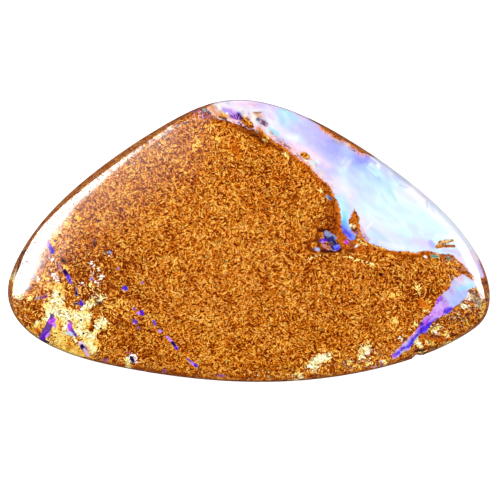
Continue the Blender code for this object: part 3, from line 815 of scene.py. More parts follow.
# %% The stains, in the order they are laid
STAINS = (
    # iron-poor sand at the lower left: a golden field, straw over it, cream in the middle
    (-14.66, -6.65, -13.17, -7.69, 0.67, "gold", 0.75), (-14.36, -4.71, -14.51, -6.05, 0.60, "gold", 0.8),
    (-13.62, -5.60, -11.98, -5.90, 0.52, "gold", 0.8), (-12.43, -6.65, -11.98, -7.76, 0.52, "gold", 0.75),
    (-15.26, -6.12, -15.85, -6.50, 0.30, "gold", 0.7), (-16.00, -6.79, -16.30, -6.50, 0.19, "gold", 0.7),
    (-14.07, -7.91, -11.98, -8.51, 0.34, "gold", 0.8), (-11.09, -6.27, -11.01, -6.27, 0.37, "gold", 0.7),
    (-12.13, -4.78, -11.68, -4.56, 0.30, "gold", 0.7), (-14.07, -3.89, -14.21, -3.59, 0.34, "gold", 0.75),
    (-14.51, -3.22, -13.92, -3.37, 0.22, "gold", 0.8), (-13.77, -4.41, -13.47, -4.86, 0.27, "gold", 0.55),
    (-11.53, -7.39, -11.31, -7.84, 0.22, "gold", 0.7), (-10.79, -4.86, -9.30, -4.63, 0.30, "gold", 0.5),
    (-11.38, -5.08, -10.34, -5.30, 0.16, "gold", 0.5), (-15.18, -2.70, -15.03, -2.85, 0.15, "gold", 0.8),
    (-16.08, -4.19, -16.30, -4.41, 0.13, "straw", 0.7),
    (-14.81, -4.86, -14.51, -5.60, 0.37, "straw", 0.85),
    (-14.21, -5.30, -13.47, -5.60, 0.45, "straw", 0.85),
    (-12.95, -5.45, -12.13, -5.75, 0.41, "straw", 0.9),
    (-12.87, -6.50, -12.13, -7.09, 0.45, "straw", 0.85),
    (-12.13, -7.39, -11.61, -8.14, 0.30, "straw", 0.9),
    (-14.51, -6.35, -14.21, -7.39, 0.34, "straw", 0.75),
    (-11.23, -6.27, -10.86, -6.20, 0.34, "straw", 0.95),
    (-12.28, -5.01, -11.68, -4.56, 0.26, "straw", 0.9),
    (-11.38, -6.72, -11.68, -7.09, 0.19, "straw", 0.85),
    (-15.26, -5.97, -15.78, -6.20, 0.18, "straw", 0.85),
    (-14.36, -3.37, -14.07, -3.52, 0.15, "straw", 0.8),
    (-13.62, -7.84, -13.02, -8.14, 0.22, "straw", 0.6),
    (-11.38, -3.67, -10.79, -4.26, 0.18, "straw", 0.5),
    (-11.68, -4.11, -11.16, -4.41, 0.15, "shell", 0.5), (-14.33, -4.04, -14.55, -5.01, 0.28, "cream", 1),
    (-13.84, -4.34, -14.21, -4.78, 0.19, "cream", 0.9), (-14.29, -5.30, -13.40, -5.60, 0.34, "cream", 1),
    (-12.58, -5.01, -11.76, -4.68, 0.22, "cream", 1), (-12.87, -5.60, -11.83, -5.75, 0.22, "cream", 0.8),
    (-11.35, -6.35, -10.89, -6.02, 0.24, "cream", 1), (-13.62, -6.27, -13.77, -6.87, 0.22, "cream", 0.7),
    (-12.50, -6.05, -12.72, -6.94, 0.27, "cream", 0.75),
    (-12.20, -6.94, -11.61, -7.17, 0.22, "cream", 0.9),
    (-11.83, -7.69, -11.61, -8.21, 0.16, "cream", 0.8),
    (-14.81, -5.23, -14.99, -5.83, 0.19, "cream", 0.8),
    (-11.23, -4.48, -10.71, -4.16, 0.10, "cream", 0.8),
    (-15.85, -6.09, -15.26, -5.86, 0.10, "cream", 0.7),
    (-13.10, -6.94, -12.87, -7.46, 0.12, "cream", 0.7),
    (-11.56, -5.68, -11.80, -6.75, 0.15, "bare", 0.95),
    (-11.28, -5.16, -11.64, -5.90, 0.16, "bare", 0.95), (-11.68, -5.75, -11.83, -6.65, 0.07, "rust", 0.5),
    (-14.07, -6.12, -13.99, -6.75, 0.08, "ochre", 0.95),
    (-12.90, -7.02, -12.58, -7.54, 0.12, "bare", 0.95),
    (-13.25, -7.91, -13.42, -7.66, 0.13, "ochre", 0.9), (-13.17, -7.39, -13.02, -7.61, 0.10, "bare", 0.7),
    (-13.57, -5.90, -13.17, -6.17, 0.08, "bare", 0.9), (-13.47, -4.41, -12.72, -5.01, 0.27, "bare", 0.95),
    (-13.66, -4.48, -13.42, -5.08, 0.18, "bare", 0.7), (-15.81, -6.69, -15.66, -6.82, 0.16, "rust", 1),
    (-11.53, -5.01, -11.09, -4.78, 0.15, "bare", 0.8), (-11.38, -4.53, -11.01, -4.66, 0.10, "iron", 0.8),
    (-14.18, -5.33, -14.11, -5.32, 0.08, "shade", 0.6), (-14.66, -4.86, -14.56, -4.96, 0.07, "gold", 0.6),
    (-12.28, -5.75, -12.13, -5.90, 0.09, "gold", 0.5),
    # gold and dark spots above it
    (-14.41, 0.48, -14.59, 0.25, 0.21, "gold", 0.95), (-13.54, 1.43, -13.40, 1.28, 0.21, "gold", 0.9),
    (-14.63, -0.06, -14.56, -0.24, 0.12, "gold", 0.95), (-12.80, 1.73, -12.62, 1.59, 0.18, "gold", 0.75),
    (-14.24, 0.73, -14.18, 0.66, 0.12, "straw", 0.6), (-13.89, -1.46, -13.74, -1.55, 0.13, "iron", 0.95),
    (-14.11, -1.83, -14.04, -2.03, 0.11, "lilac sand", 0.7),
    (-14.54, -2.52, -14.26, -2.92, 0.14, "shell", 0.95),
    (-14.39, -2.62, -14.29, -2.85, 0.07, "lilac sand", 0.6),
    (-14.78, -1.39, -14.66, -1.43, 0.10, "shell", 0.95),
    (-15.81, -2.77, -15.70, -2.89, 0.13, "shell", 0.95),
    (-15.41, -1.68, -15.35, -1.76, 0.10, "shade", 0.95),
    (-15.48, -2.00, -15.38, -2.07, 0.10, "umber", 0.95),
    (-16.12, -2.70, -15.97, -2.73, 0.11, "shade", 0.95),
    (-14.89, -1.28, -14.81, -0.98, 0.11, "rosy sand", 0.6),
    (-13.77, -1.88, -13.54, -2.00, 0.11, "gold", 0.8), (-11.53, -0.16, -11.46, -0.36, 0.09, "iron", 0.85),
    (-11.58, 0.10, -11.50, -0.01, 0.09, "shade", 0.6), (-11.76, -1.58, -11.53, -1.88, 0.10, "shell", 0.6),
    (-11.23, -2.15, -11.09, -2.28, 0.08, "cream", 0.75),
    (-11.61, -2.37, -11.53, -2.52, 0.07, "shell", 0.8),
    (-11.13, -2.62, -11.01, -2.82, 0.08, "cream", 0.7),
    (-11.38, -3.04, -11.19, -3.22, 0.10, "shell", 0.8),
    (-12.43, -3.10, -12.32, -3.17, 0.10, "shell", 0.8),
    (-11.83, -3.29, -11.61, -3.52, 0.12, "straw", 0.7),
    (-10.86, -2.62, -10.82, -2.70, 0.07, "shell", 0.8), (-10.64, -0.72, -10.34, -0.73, 0.09, "iron", 0.7),
    (-10.53, -0.86, -10.42, -1.03, 0.09, "shell", 0.6),
    # the left tip's rim
    (-17.38, -2.18, -17.64, -3.89, 0.24, "straw", 0.9),
    (-17.27, -2.03, -17.37, -2.62, 0.16, "shell", 0.8),
    (-17.49, -3.37, -17.05, -4.11, 0.27, "straw", 0.7),
    (-17.34, -3.22, -16.97, -3.67, 0.18, "shell", 0.7),
    (-17.60, -2.62, -17.58, -2.95, 0.11, "gold", 0.95),
    (-17.75, -4.41, -16.90, -4.46, 0.10, "umber", 0.35),
    (-16.72, -0.51, -17.22, -1.77, 0.19, "iron", 0.95),
    (-17.19, -1.65, -17.15, -2.03, 0.12, "umber", 0.95), (-15.59, 1.13, -15.70, 0.91, 0.16, "iron", 1),
    (-15.85, 0.73, -16.52, -0.16, 0.13, "ochre", 0.8), (-15.48, 1.30, -15.44, 1.33, 0.09, "straw", 0.9),
    (-17.82, -4.71, -17.57, -5.38, 0.13, "gold", 0.6), (-17.49, -5.45, -16.90, -6.27, 0.12, "gold", 0.5),
    # the straw strokes along the lower left rim, here and at the bottom edge, are painted light that lifts
    # the shade where the rim rolls away, over the rim's golden sand
    (-16.90, -6.35, -16.00, -7.09, 0.13, "straw", 0.9),
    (-16.00, -7.09, -14.07, -8.11, 0.13, "straw", 0.95),
    # the bottom edge and the patches beside it
    (-9.11, -8.95, -8.96, -9.30, 0.18, "straw", 0.9), (-9.00, -8.73, -8.89, -8.95, 0.12, "cream", 0.6),
    (-8.78, -8.55, -8.52, -8.61, 0.10, "shell", 0.7), (-8.44, -8.73, -8.40, -9.03, 0.12, "shell", 0.6),
    # the long umber strokes along the bottom edge are painted shade, a dark line where the rim rolls away
    # from the lights
    (-9.10, -9.33, -9.00, -9.40, 0.10, "cream", 0.8), (-11.09, -9.10, -5.13, -9.88, 0.09, "umber", 0.35),
    (-5.13, -10.00, 3.81, -10.34, 0.10, "umber", 0.3), (3.81, -10.22, 7.17, -9.92, 0.10, "umber", 0.25),
    # painted light: a straw stroke that carries the lifted rim on along the lower left
    (-14.07, -8.14, -12.43, -8.69, 0.12, "straw", 0.9),
    # this umber stroke carries the painted shade line on along the bottom edge
    (-12.28, -8.76, -11.09, -9.06, 0.07, "umber", 0.4), (4.71, -9.18, 5.83, -8.66, 0.39, "gold", 0.65),
    (3.52, -9.77, 3.96, -10.22, 0.21, "gold", 0.6), (4.46, -9.36, 5.01, -9.37, 0.15, "cream", 1),
    (4.86, -9.03, 5.45, -8.76, 0.25, "cream", 1), (5.45, -8.73, 6.00, -8.58, 0.19, "cream", 1),
    (5.01, -9.33, 4.86, -9.70, 0.12, "cream", 0.9), (3.41, -9.95, 3.81, -9.95, 0.10, "straw", 0.9),
    (3.74, -10.07, 4.01, -10.30, 0.10, "cream", 0.9), (3.78, -9.48, 3.71, -9.70, 0.09, "gold", 0.8),
    (6.20, -8.28, 6.50, -8.21, 0.10, "gold", 0.7), (8.39, -8.70, 8.43, -8.28, 0.17, "cream", 1),
    (8.55, -8.06, 8.76, -8.25, 0.25, "cream", 1), (8.73, -7.91, 8.88, -8.06, 0.13, "cream", 0.9),
    (8.88, -7.58, 9.00, -7.76, 0.11, "straw", 0.9), (8.51, -7.84, 8.28, -8.43, 0.34, "gold", 0.35),
    (7.39, -9.07, 7.69, -8.98, 0.10, "straw", 0.7), (7.84, -9.36, 8.43, -9.40, 0.11, "gold", 0.7),
    (8.81, -9.25, 9.10, -9.07, 0.10, "straw", 0.8), (5.75, -9.97, 6.20, -10.07, 0.10, "gold", 0.6),
    (10.10, -9.03, 10.22, -9.10, 0.11, "straw", 0.9), (4.63, -9.82, 5.16, -9.92, 0.12, "gold", 0.4),
    # the lower right
    (10.71, -5.87, 10.97, -6.17, 0.21, "gold", 0.9), (10.77, -5.93, 11.00, -5.93, 0.10, "straw", 0.9),
    (11.34, -7.24, 11.44, -7.46, 0.11, "shell", 0.7), (11.37, -7.27, 11.41, -7.42, 0.07, "cream", 0.7),
    (11.59, -7.24, 11.61, -7.44, 0.06, "iron", 0.6), (12.26, -6.08, 12.50, -6.27, 0.10, "straw", 0.9),
    (12.43, -3.37, 12.78, -3.99, 0.11, "straw", 0.75), (10.59, -4.11, 11.19, -3.89, 0.18, "gold", 0.75),
    (11.93, -6.57, 12.20, -6.69, 0.09, "straw", 0.7),
    (12.87, -4.66, 13.20, -4.75, 0.22, "bright rust", 0.9),
    (13.35, -4.46, 13.45, -4.63, 0.13, "gold", 0.8), (13.13, -5.16, 13.35, -5.23, 0.09, "straw", 0.6),
    (12.53, -7.46, 12.78, -7.84, 0.19, "straw", 0.9), (12.64, -7.61, 12.80, -7.79, 0.12, "cream", 0.9),
    (13.31, -7.36, 13.80, -7.81, 0.22, "gold", 0.95), (13.50, -7.51, 13.72, -7.69, 0.12, "straw", 0.6),
    (13.05, -8.31, 13.50, -8.21, 0.09, "straw", 0.9), (12.65, -8.36, 12.98, -8.43, 0.08, "straw", 0.8),
    (14.10, -8.18, 15.88, -7.27, 0.13, "straw", 0.8), (14.72, -6.99, 14.89, -7.06, 0.13, "straw", 1),
    (13.57, -6.65, 14.10, -6.50, 0.22, "straw", 0.75), (13.87, -6.72, 14.02, -6.87, 0.12, "shell", 0.6),
    (15.85, -4.78, 16.18, -4.90, 0.14, "cream", 0.95), (16.23, -3.93, 16.48, -4.29, 0.16, "shell", 1),
    (17.12, -3.56, 17.19, -3.67, 0.10, "gold", 0.95), (16.85, -4.11, 17.37, -4.71, 0.34, "greige", 0.6),
    (17.00, -4.48, 17.15, -4.63, 0.09, "shade", 0.7), (16.55, -3.74, 17.22, -4.19, 0.09, "umber", 0.6),
    (16.93, -4.86, 17.45, -5.01, 0.15, "greige", 0.6),
    (15.47, -5.65, 15.59, -5.72, 0.12, "moss sand", 0.8),
    (16.30, -6.05, 16.40, -6.15, 0.10, "moss gold", 0.8),
    (14.59, -5.38, 14.72, -5.56, 0.10, "straw", 0.9), (14.74, -5.65, 14.84, -5.75, 0.07, "umber", 0.7),
    (12.83, -7.02, 14.24, -7.35, 0.18, "rust", 0.85), (14.24, -7.35, 14.99, -7.42, 0.13, "rust", 0.7),
    (13.57, -7.12, 14.32, -7.17, 0.07, "iron", 0.5), (12.34, -8.25, 13.05, -8.14, 0.10, "iron", 0.85),
    (13.05, -8.11, 14.02, -7.88, 0.07, "iron", 0.6), (15.14, -7.06, 15.59, -6.97, 0.07, "iron", 0.6),
    (15.14, -5.01, 16.03, -4.48, 0.07, "umber", 0.8), (13.35, -6.87, 14.10, -6.05, 0.07, "umber", 0.5),
    (12.01, -8.73, 11.12, -9.03, 0.10, "umber", 0.6),
    (12.75, -6.87, 12.98, -7.09, 0.08, "bright rust", 0.6),
    (10.37, -7.84, 10.52, -7.99, 0.15, "bright rust", 0.5),
    # the right tip's rim, rusty, then almost black, then golden
    (17.57, -2.89, 17.73, -3.37, 0.18, "sienna", 1), (17.42, -2.89, 17.52, -2.97, 0.10, "gold", 0.8),
    (17.85, -3.67, 17.87, -4.56, 0.14, "black iron", 1), (17.70, -4.78, 17.42, -5.68, 0.18, "gold", 0.95),
    (17.45, -5.45, 17.37, -5.68, 0.10, "straw", 0.5),
    # beside the seams
    (-3.86, 9.60, -3.11, 9.22, 0.31, "lilac sand", 0.4),
    (-1.21, 7.09, -0.98, 6.76, 0.20, "bright rust", 0.85),
    (-0.80, 6.32, -0.66, 6.17, 0.10, "bright rust", 0.6), (2.73, 6.47, 2.85, 6.32, 0.13, "straw", 0.8),
    (1.03, 7.54, 1.28, 7.36, 0.09, "straw", 0.9), (2.18, 4.75, 2.40, 4.60, 0.19, "bright rust", 0.6),
    (-2.37, 7.51, -2.22, 7.24, 0.19, "gold", 0.7), (-3.86, 7.58, -3.78, 7.14, 0.19, "gold", 0.7),
    (-3.04, 8.55, -2.82, 8.33, 0.13, "gold", 0.6), (-2.44, 9.19, -0.95, 8.88, 0.11, "bark", 0.95),
    (-0.95, 8.78, -0.36, 8.52, 0.12, "iron", 0.85), (-0.36, 8.51, 0.54, 8.22, 0.11, "iron", 0.8),
    (-0.06, 8.18, 0.98, 7.36, 0.16, "umber", 0.3), (0.09, 7.91, 0.69, 7.73, 0.07, "iron", 0.6),
    (0.76, 8.40, 1.09, 7.91, 0.13, "bright rust", 0.9), (1.13, 7.91, 1.43, 7.61, 0.07, "straw", 0.7),
    (-0.28, 8.40, 0.98, 7.96, 0.19, "umber", 0.2), (0.16, 8.45, 0.61, 8.43, 0.12, "sienna", 0.7),
    (0.83, 7.51, 0.98, 7.36, 0.10, "iron", 0.7), (0.98, 7.21, 1.88, 6.99, 0.22, "umber", 0.2),
    (-0.80, 9.00, -1.70, 8.81, 0.06, "umber", 0.7), (5.30, 3.71, 5.38, 3.64, 0.08, "straw", 0.9),
    (5.60, 3.56, 6.35, 2.82, 0.22, "umber", 0.2), (6.05, 2.67, 6.42, 0.36, 0.27, "umber", 0.2),
    (4.86, 1.10, 5.45, 0.73, 0.12, "umber", 0.4), (5.16, 0.73, 5.90, 0.83, 0.10, "iron", 0.7),
    (5.08, 0.36, 5.23, -0.09, 0.15, "umber", 0.6), (5.23, -0.39, 5.60, -0.76, 0.15, "iron", 0.5),
    (4.41, -0.54, 4.86, -0.76, 0.15, "umber", 0.8), (5.45, -0.76, 6.79, -0.79, 0.10, "iron", 0.8),
    (6.69, -0.16, 6.79, -0.61, 0.11, "iron", 0.8), (4.26, -0.16, 5.01, 0.06, 0.10, "umber", 0.5),
    (6.57, 2.59, 6.72, 0.06, 0.19, "rust", 0.55), (6.79, 0.13, 7.24, -0.54, 0.22, "bright rust", 0.7),
    (7.39, -0.01, 7.84, -0.54, 0.18, "sienna", 0.9), (7.69, -0.69, 9.18, -0.64, 0.19, "rust", 0.55),
    (7.24, -0.69, 7.69, -0.83, 0.11, "iron", 0.5), (7.73, 2.15, 7.84, 1.55, 0.19, "rust", 0.9),
    (7.91, 1.77, 8.06, 1.25, 0.10, "ochre", 0.7), (7.58, 1.15, 7.81, 1.03, 0.11, "cream", 0.9),
    (7.69, 1.10, 7.73, 1.06, 0.05, "moss sand", 0.8), (7.69, 0.88, 7.84, 0.73, 0.11, "umber", 0.9),
    (8.06, 0.66, 8.28, 0.36, 0.12, "rosy sand", 0.8), (7.81, 0.46, 7.88, 0.36, 0.07, "shell", 0.9),
    (8.14, 0.06, 8.73, -0.31, 0.10, "straw", 0.7), (9.18, -0.43, 10.67, -0.58, 0.07, "straw", 0.5),
    (12.01, -0.61, 12.46, -0.69, 0.07, "straw", 0.6), (13.95, -0.83, 14.24, -1.06, 0.08, "straw", 0.7),
    (14.32, -0.98, 15.14, -1.33, 0.19, "sienna", 0.6), (15.14, -1.43, 15.88, -2.03, 0.10, "rust", 0.5),
    (15.44, -1.58, 15.66, -1.80, 0.07, "straw", 0.6), (14.77, -1.58, 14.91, -1.73, 0.07, "straw", 0.5),
    (15.88, -2.03, 16.40, -2.25, 0.10, "dark peach", 0.8),
    (16.11, -1.88, 16.33, -2.03, 0.07, "shade", 0.5), (15.73, -2.32, 16.03, -2.40, 0.10, "umber", 0.6),
    (9.79, -2.47, 9.85, -2.53, 0.11, "iron", 0.95), (14.10, -1.21, 14.24, -1.36, 0.07, "gold", 0.7),
    (4.26, -1.36, 5.45, -1.03, 0.05, "straw", 0.7), (5.45, -1.03, 7.17, -1.21, 0.05, "gold", 0.7),
    (7.17, -1.21, 9.18, -1.70, 0.06, "straw", 0.6), (4.71, -1.65, 6.05, -1.39, 0.04, "gold", 0.6),
    (7.54, -1.03, 9.63, -1.21, 0.04, "gold", 0.5),
    # the tan island in the window
    (14.07, -0.43, 14.54, -0.31, 0.10, "ochre", 0.9), (14.32, -0.15, 14.77, -0.04, 0.15, "tan", 0.9),
    (14.84, -0.01, 15.21, 0.06, 0.09, "straw", 0.7), (14.69, -0.36, 14.91, -0.39, 0.08, "umber", 0.8),
    (15.06, -0.43, 15.29, -0.36, 0.10, "rust", 0.7),
)

# %% Lay the rusty band and the stains
RUST_BAND = (  # distance out from the opal, width, colour, strength, and where the field breaks it off
    (0.16, 0.15, "rust", 0.6, -0.8), (0.07, 0.07, "amber", 0.6, -0.2), (0.34, 0.08, "umber", 0.45, -0.1),
)
BAND_WANDER, BREAK_SOFTNESS = 0.05, 0.25
WALL_FROM, WALL_FULL = 0.3, 0.7         # how much a normal points up on the wall and on the face
WALL_PUSH = 0.8             # bends marks that would run straight down the wall as bars
stain, stained_by = np.zeros((len(points), 3)), np.zeros(len(points))
for offset, width, colour_name, strength, gaps in RUST_BAND:
    band = np.exp(-(((to_window + offset + BAND_WANDER * drift[:, 0]) / width) ** 2)) * strength
    band *= ramp(field(points, 1.5, 41), gaps, gaps + BREAK_SOFTNESS)
    stain += (np.array(COLOURS[colour_name]) - stain) * band[:, None]
    stained_by += (1 - stained_by) * band
steep = 1 - ramp(normals[:, 2], WALL_FROM, WALL_FULL)[:, None]
bent = points + (0.04 + WALL_PUSH * steep) * drift + 0.03 * wobble
stain, stained_by = lay_over(bent, STAINS, stain, stained_by, crisp=5)
stain_colour = linear(np.clip(stain / np.maximum(stained_by, 0.01)[:, None], 0, 255))
stained_by *= high_enough
covered = (stained_by[on_dome] > 0.5).mean()
print(len(STAINS), "stains cover", round(100 * float(covered), 1), "% of the face")

# %% [markdown]
# ## Relief that the wheel leaves
# A polished stone isn't a perfect surface. It waves a little where the cutter pressed harder, sand
# grains stand up or pluck out, ironstone wears a hundredth of a millimetre lower than the harder opal,
# and a few holes and a chip at the rim never polish out. All of it is real geometry here: each point
# moves along its normal by a sum of fields. A bump texture would show the grain but not the chip, and
# would vanish when the mesh is used elsewhere.

# %% Waves, grain, hollows and the step down from the opal
WAVE, ROUGHER, GRAIN = 0.014, 0.004, 0.0028     # heights in millimetres
UNDERCUT = 0.010            # how far the sand lies under the opal
OPAL_CALM = 0.8             # the share of the fine relief that the harder opal lacks
HOLLOWS = (  # from, to, radius, depth
    (-3.41, 10.00, -2.22, 9.07, 0.12, 0.030), (-2.22, 9.07, -0.60, 8.63, 0.09, 0.025),
    (-0.60, 8.63, 0.02, 8.30, 0.08, 0.025), (12.83, -6.94, 14.24, -7.24, 0.09, 0.035),
    (5.40, 0.10, 6.60, -0.50, 0.45, 0.030), (5.11, -0.61, 5.15, -0.61, 0.10, 0.03),
    (4.08, 6.43, 4.41, 6.24, 0.16, 0.020), (-15.10, -7.00, -14.60, -5.90, 0.22, 0.020),
)
PINHOLES = ((-14.07, -3.96), (-11.01, -6.53), (-12.32, -6.91), (-12.49, -5.90), (9.82, -2.50))
PIT_RADIUS, PIT_DEPTH = 0.10, 0.006


def ease(value, low, high):
    """0 below low, 1 above high, and a smooth step between them."""
    share = ramp(value, low, high)
    return share * share * (3 - 2 * share)


in_opal = ease(opal_depth, -0.04, 0.04)
sandy = ROUGHER * field(points, 0.8, 52) + GRAIN * field(points, 0.25, 53, layers=1) - UNDERCUT
relief = WAVE * field(points, 5.0, 51, layers=1) + (1 - OPAL_CALM * in_opal) * sandy
for hollow in HOLLOWS:
    relief -= stroke(close, hollow, crisp=3) * hollow[5]
for x, y in PINHOLES:
    relief -= stroke(points, (x, y, x, y, PIT_RADIUS), crisp=4) * PIT_DEPTH
relief *= face_up
points = points + normals * relief[:, None]
print("relief from", relief.min().round(3), "to", relief.max().round(3), "mm")

# %% The chip out of the rim, a scoop that is taller than it is wide
CHIP_CENTRE, CHIP_RADIUS, CHIP_HALF_HEIGHT = np.array((12.66, -8.80, 2.6)), 0.46, 2.3
CHIP_INTO = np.array((-0.33, 0.944))
from_chip = points - CHIP_CENTRE
room = 1 - (from_chip[:, 2] / CHIP_HALF_HEIGHT) ** 2
forward = from_chip[:, :2] @ CHIP_INTO
aside = from_chip[:, :2] @ (CHIP_INTO[1], -CHIP_INTO[0])
reach_in = np.sqrt(np.clip(CHIP_RADIUS**2 * room - aside**2, 0, None))
chipped = (reach_in > 0) & (abs(forward) < reach_in)
points[chipped, :2] += CHIP_INTO * (reach_in - forward)[chipped, None]
print(int(chipped.sum()), "points moved by the chip")

# %% [markdown]
# ## Hand the fields to the shader
# A mesh can carry a number or a colour for every point, and a material can read it by name. That keeps
# the painting with the mesh, where it was made from measured places, and leaves the fine grain to the
# shader's own noise.

# %% Attributes on the mesh
side = ease(0.60 - normals[:, 2], -0.08, 0.08)      # 1 on the wall
mesh.vertices.foreach_set("co", (points * MM).astype(np.float32).ravel())
mesh.update()
CARRIED = {
    "opal depth": opal_depth, "fringe": fringe, "stained": stained_by, "dark": dark, "worn": worn,
    "polish": face_up, "side": side,
}
for name, values in CARRIED.items():
    mesh.attributes.new(name, "FLOAT", "POINT").data.foreach_set("value", values.astype(np.float32))
for name, values in (("opal colour", opal_colour), ("stain colour", stain_colour)):
    painted = np.column_stack([values, np.ones(len(points))]).astype(np.float32)
    mesh.attributes.new(name, "FLOAT_COLOR", "POINT").data.foreach_set("color", painted.ravel())
opal_stone = bpy.data.objects.new("opal_stone", mesh)
bpy.context.collection.objects.link(opal_stone)
print("the mesh carries", [a.name for a in mesh.attributes if not a.is_internal])

# %% [markdown]
# ## The finish
# One material covers the whole stone, because it is one stone. The ironstone is noise turned into
# colour: the noise has a bell-shaped spread, so each colour of the sand, from nearly black iron to pale
# quartz, gets a place on the ramp by how much of the surface it should cover. The opal's painted colour
# is cut in over it along the distance field.

# %% Small helpers for building the node tree
finish = bpy.data.materials.new("polished_opal_and_ironstone")
finish.use_nodes = True
tree = finish.node_tree
shader = tree.nodes["Principled BSDF"]


def put(kind, *inputs, **settings):
    """Adds a node. Each input is a value, or an output to wire in, or None to leave alone."""
    made = tree.nodes.new("ShaderNode" + kind)
    for name, value in settings.items():
        setattr(made, name, value)
    for place, value in zip(made.inputs, inputs):
        if isinstance(value, bpy.types.NodeSocket):
            tree.links.new(value, place)
        elif value is not None:
            place.default_value = value
    return made


def carried(name, output="Fac"):
    """What the mesh carries under this name."""
    return put("Attribute", attribute_name=name).outputs[output]


def sums(operation, a, b=0.0, c=0.0):
    """Arithmetic on one, two or three numbers."""
    return put("Math", a, b, c, operation=operation).outputs[0]


def vectors(operation, a, b, c=None):
    """Arithmetic on places or colours."""
    return put("VectorMath", a, b, c, operation=operation).outputs[0]


def span(value, low, high, to_low=0.0, to_high=1.0):
    """Maps low to high onto to_low to to_high, smoothly, and stops at the ends."""
    made = put("MapRange", value, low, high, to_low, to_high, interpolation_type="SMOOTHSTEP")
    return made.outputs[0]


def switch(share, a, b):
    """The number a where the share is 0, b where it is 1."""
    return put("MapRange", share, 0.0, 1.0, a, b).outputs[0]


def blend(share, a, b):
    """Mixes two colours; a and b may be outputs or 0 to 255 colours."""
    made = put("Mix", share, data_type="RGBA")
    places = [socket for socket in made.inputs if socket.type == "RGBA"]
    for place, value in zip(places, (a, b)):
        if isinstance(value, bpy.types.NodeSocket):
            tree.links.new(value, place)
        else:
            place.default_value = (*linear(value), 1)
    return next(socket for socket in made.outputs if socket.type == "RGBA")


print("helpers ready")

# %% Noise for the shader, in millimetres
scaled = put("VectorMath", put("TexCoord").outputs["Object"], operation="SCALE")
scaled.inputs["Scale"].default_value = 1 / MM
millimetres = scaled.outputs[0]


def speckle(place, scale, detail, roughness, swirl):
    """Smooth noise about a half; swirl pulls its features into flakes."""
    made = put("TexNoise", place)
    settings = {"Scale": scale, "Detail": detail, "Roughness": roughness, "Distortion": swirl}
    for name, value in settings.items():
        made.inputs[name].default_value = value
    return made.outputs["Fac"]


def noise(per_mm, detail, shift=0.0, roughness=0.5, swirl=0.0):
    """Noise with this many features to a millimetre; another shift gives another pattern."""
    return speckle(vectors("ADD", millimetres, (shift, shift, shift)), per_mm, detail, roughness, swirl)


THREADS_ALONG, THREADS_ACROSS, THREADS_DOWN = 3.4, 7.5, 5.0     # features to a millimetre


def threads(turn):
    """Noise drawn out into short threads that run one way; turn is that way in degrees."""
    size = (1 / THREADS_ALONG, 1 / THREADS_ACROSS, 1 / THREADS_DOWN)
    drawn = put("Mapping", millimetres, (turn, 0.0, 0.0), (0.0, 0.0, math.radians(turn)), size,
                vector_type="TEXTURE")
    return speckle(drawn.outputs[0], 1.0, 2.0, 0.6, 1.0)


GRAIN_MIDDLE = 0.5          # the noise's middle
GRAIN_SPREAD = 0.085        # and its standard deviation


def about_middle(value, gain, base):
    """The noise's distance from its middle times gain, added to base."""
    return sums("MULTIPLY_ADD", sums("SUBTRACT", value, GRAIN_MIDDLE), gain, base)


print("a thread is about", round(1 / THREADS_ALONG, 2), "by", round(1 / THREADS_ACROSS, 2), "mm")

# %% The sand's colours, from dark iron to pale quartz, each with its share of the surface below it
DAYLIGHT = 1.2              # how bright the studio lights a white card
SAND = (  # place on the ramp in standard deviations, colour
    (-2.2, (100, 30, 0)), (-1.5, (130, 48, 0)), (-0.9, (156, 66, 0)), (-0.3, (182, 86, 0)),
    (0.15, (204, 98, 0)), (0.7, (230, 126, 6)), (1.3, (252, 160, 36)), (2.2, (255, 204, 92)),
)
ROSY_SAND = (
    (-2.4, (86, 22, 0)), (-0.85, (146, 56, 4)), (0.25, (196, 96, 22)), (1.2, (238, 146, 62)),
    (2.4, (255, 204, 140)),
)
GOLDEN_SAND = (
    (-2.4, (104, 34, 0)), (-0.85, (156, 68, 0)), (0.25, (212, 112, 0)), (1.2, (252, 166, 34)),
    (2.4, (255, 224, 110)),
)


def colour_ramp(value, stops):
    """A ramp with stops at standard deviations of the noise."""
    made = put("ValToRGB", value)
    on_it = made.color_ramp.elements
    while len(on_it) < len(stops):
        on_it.new(0.5)
    for stop, (deviations, colour) in zip(on_it, stops):
        stop.position = GRAIN_MIDDLE + deviations * GRAIN_SPREAD
        stop.color = (*linear(colour) / DAYLIGHT, 1)
    return made.outputs["Color"]


print("the sand has", len(SAND) + len(ROSY_SAND) + len(GOLDEN_SAND), "colours")

# %% [markdown]
# Under a lens the polished sandstone is a felt of short threads, a third of a millimetre long, that lie one
# way in one patch and another way in the next. Three thread patterns with different directions take turns.

# %% The grain
ALONG_THE_STONE, ACROSS_IT, SLANTING = 25, 85, 145      # degrees
first_patches = span(noise(2.4, 1.0, shift=5.0), 0.50, 0.54)
second_patches = span(noise(2.0, 1.0, shift=25.0), 0.53, 0.57)
grain = switch(first_patches, threads(ALONG_THE_STONE), threads(ACROSS_IT))
grain = switch(second_patches, grain, threads(SLANTING))
print("threads run", ALONG_THE_STONE, ACROSS_IT, "and", SLANTING, "degrees from the stone's length")

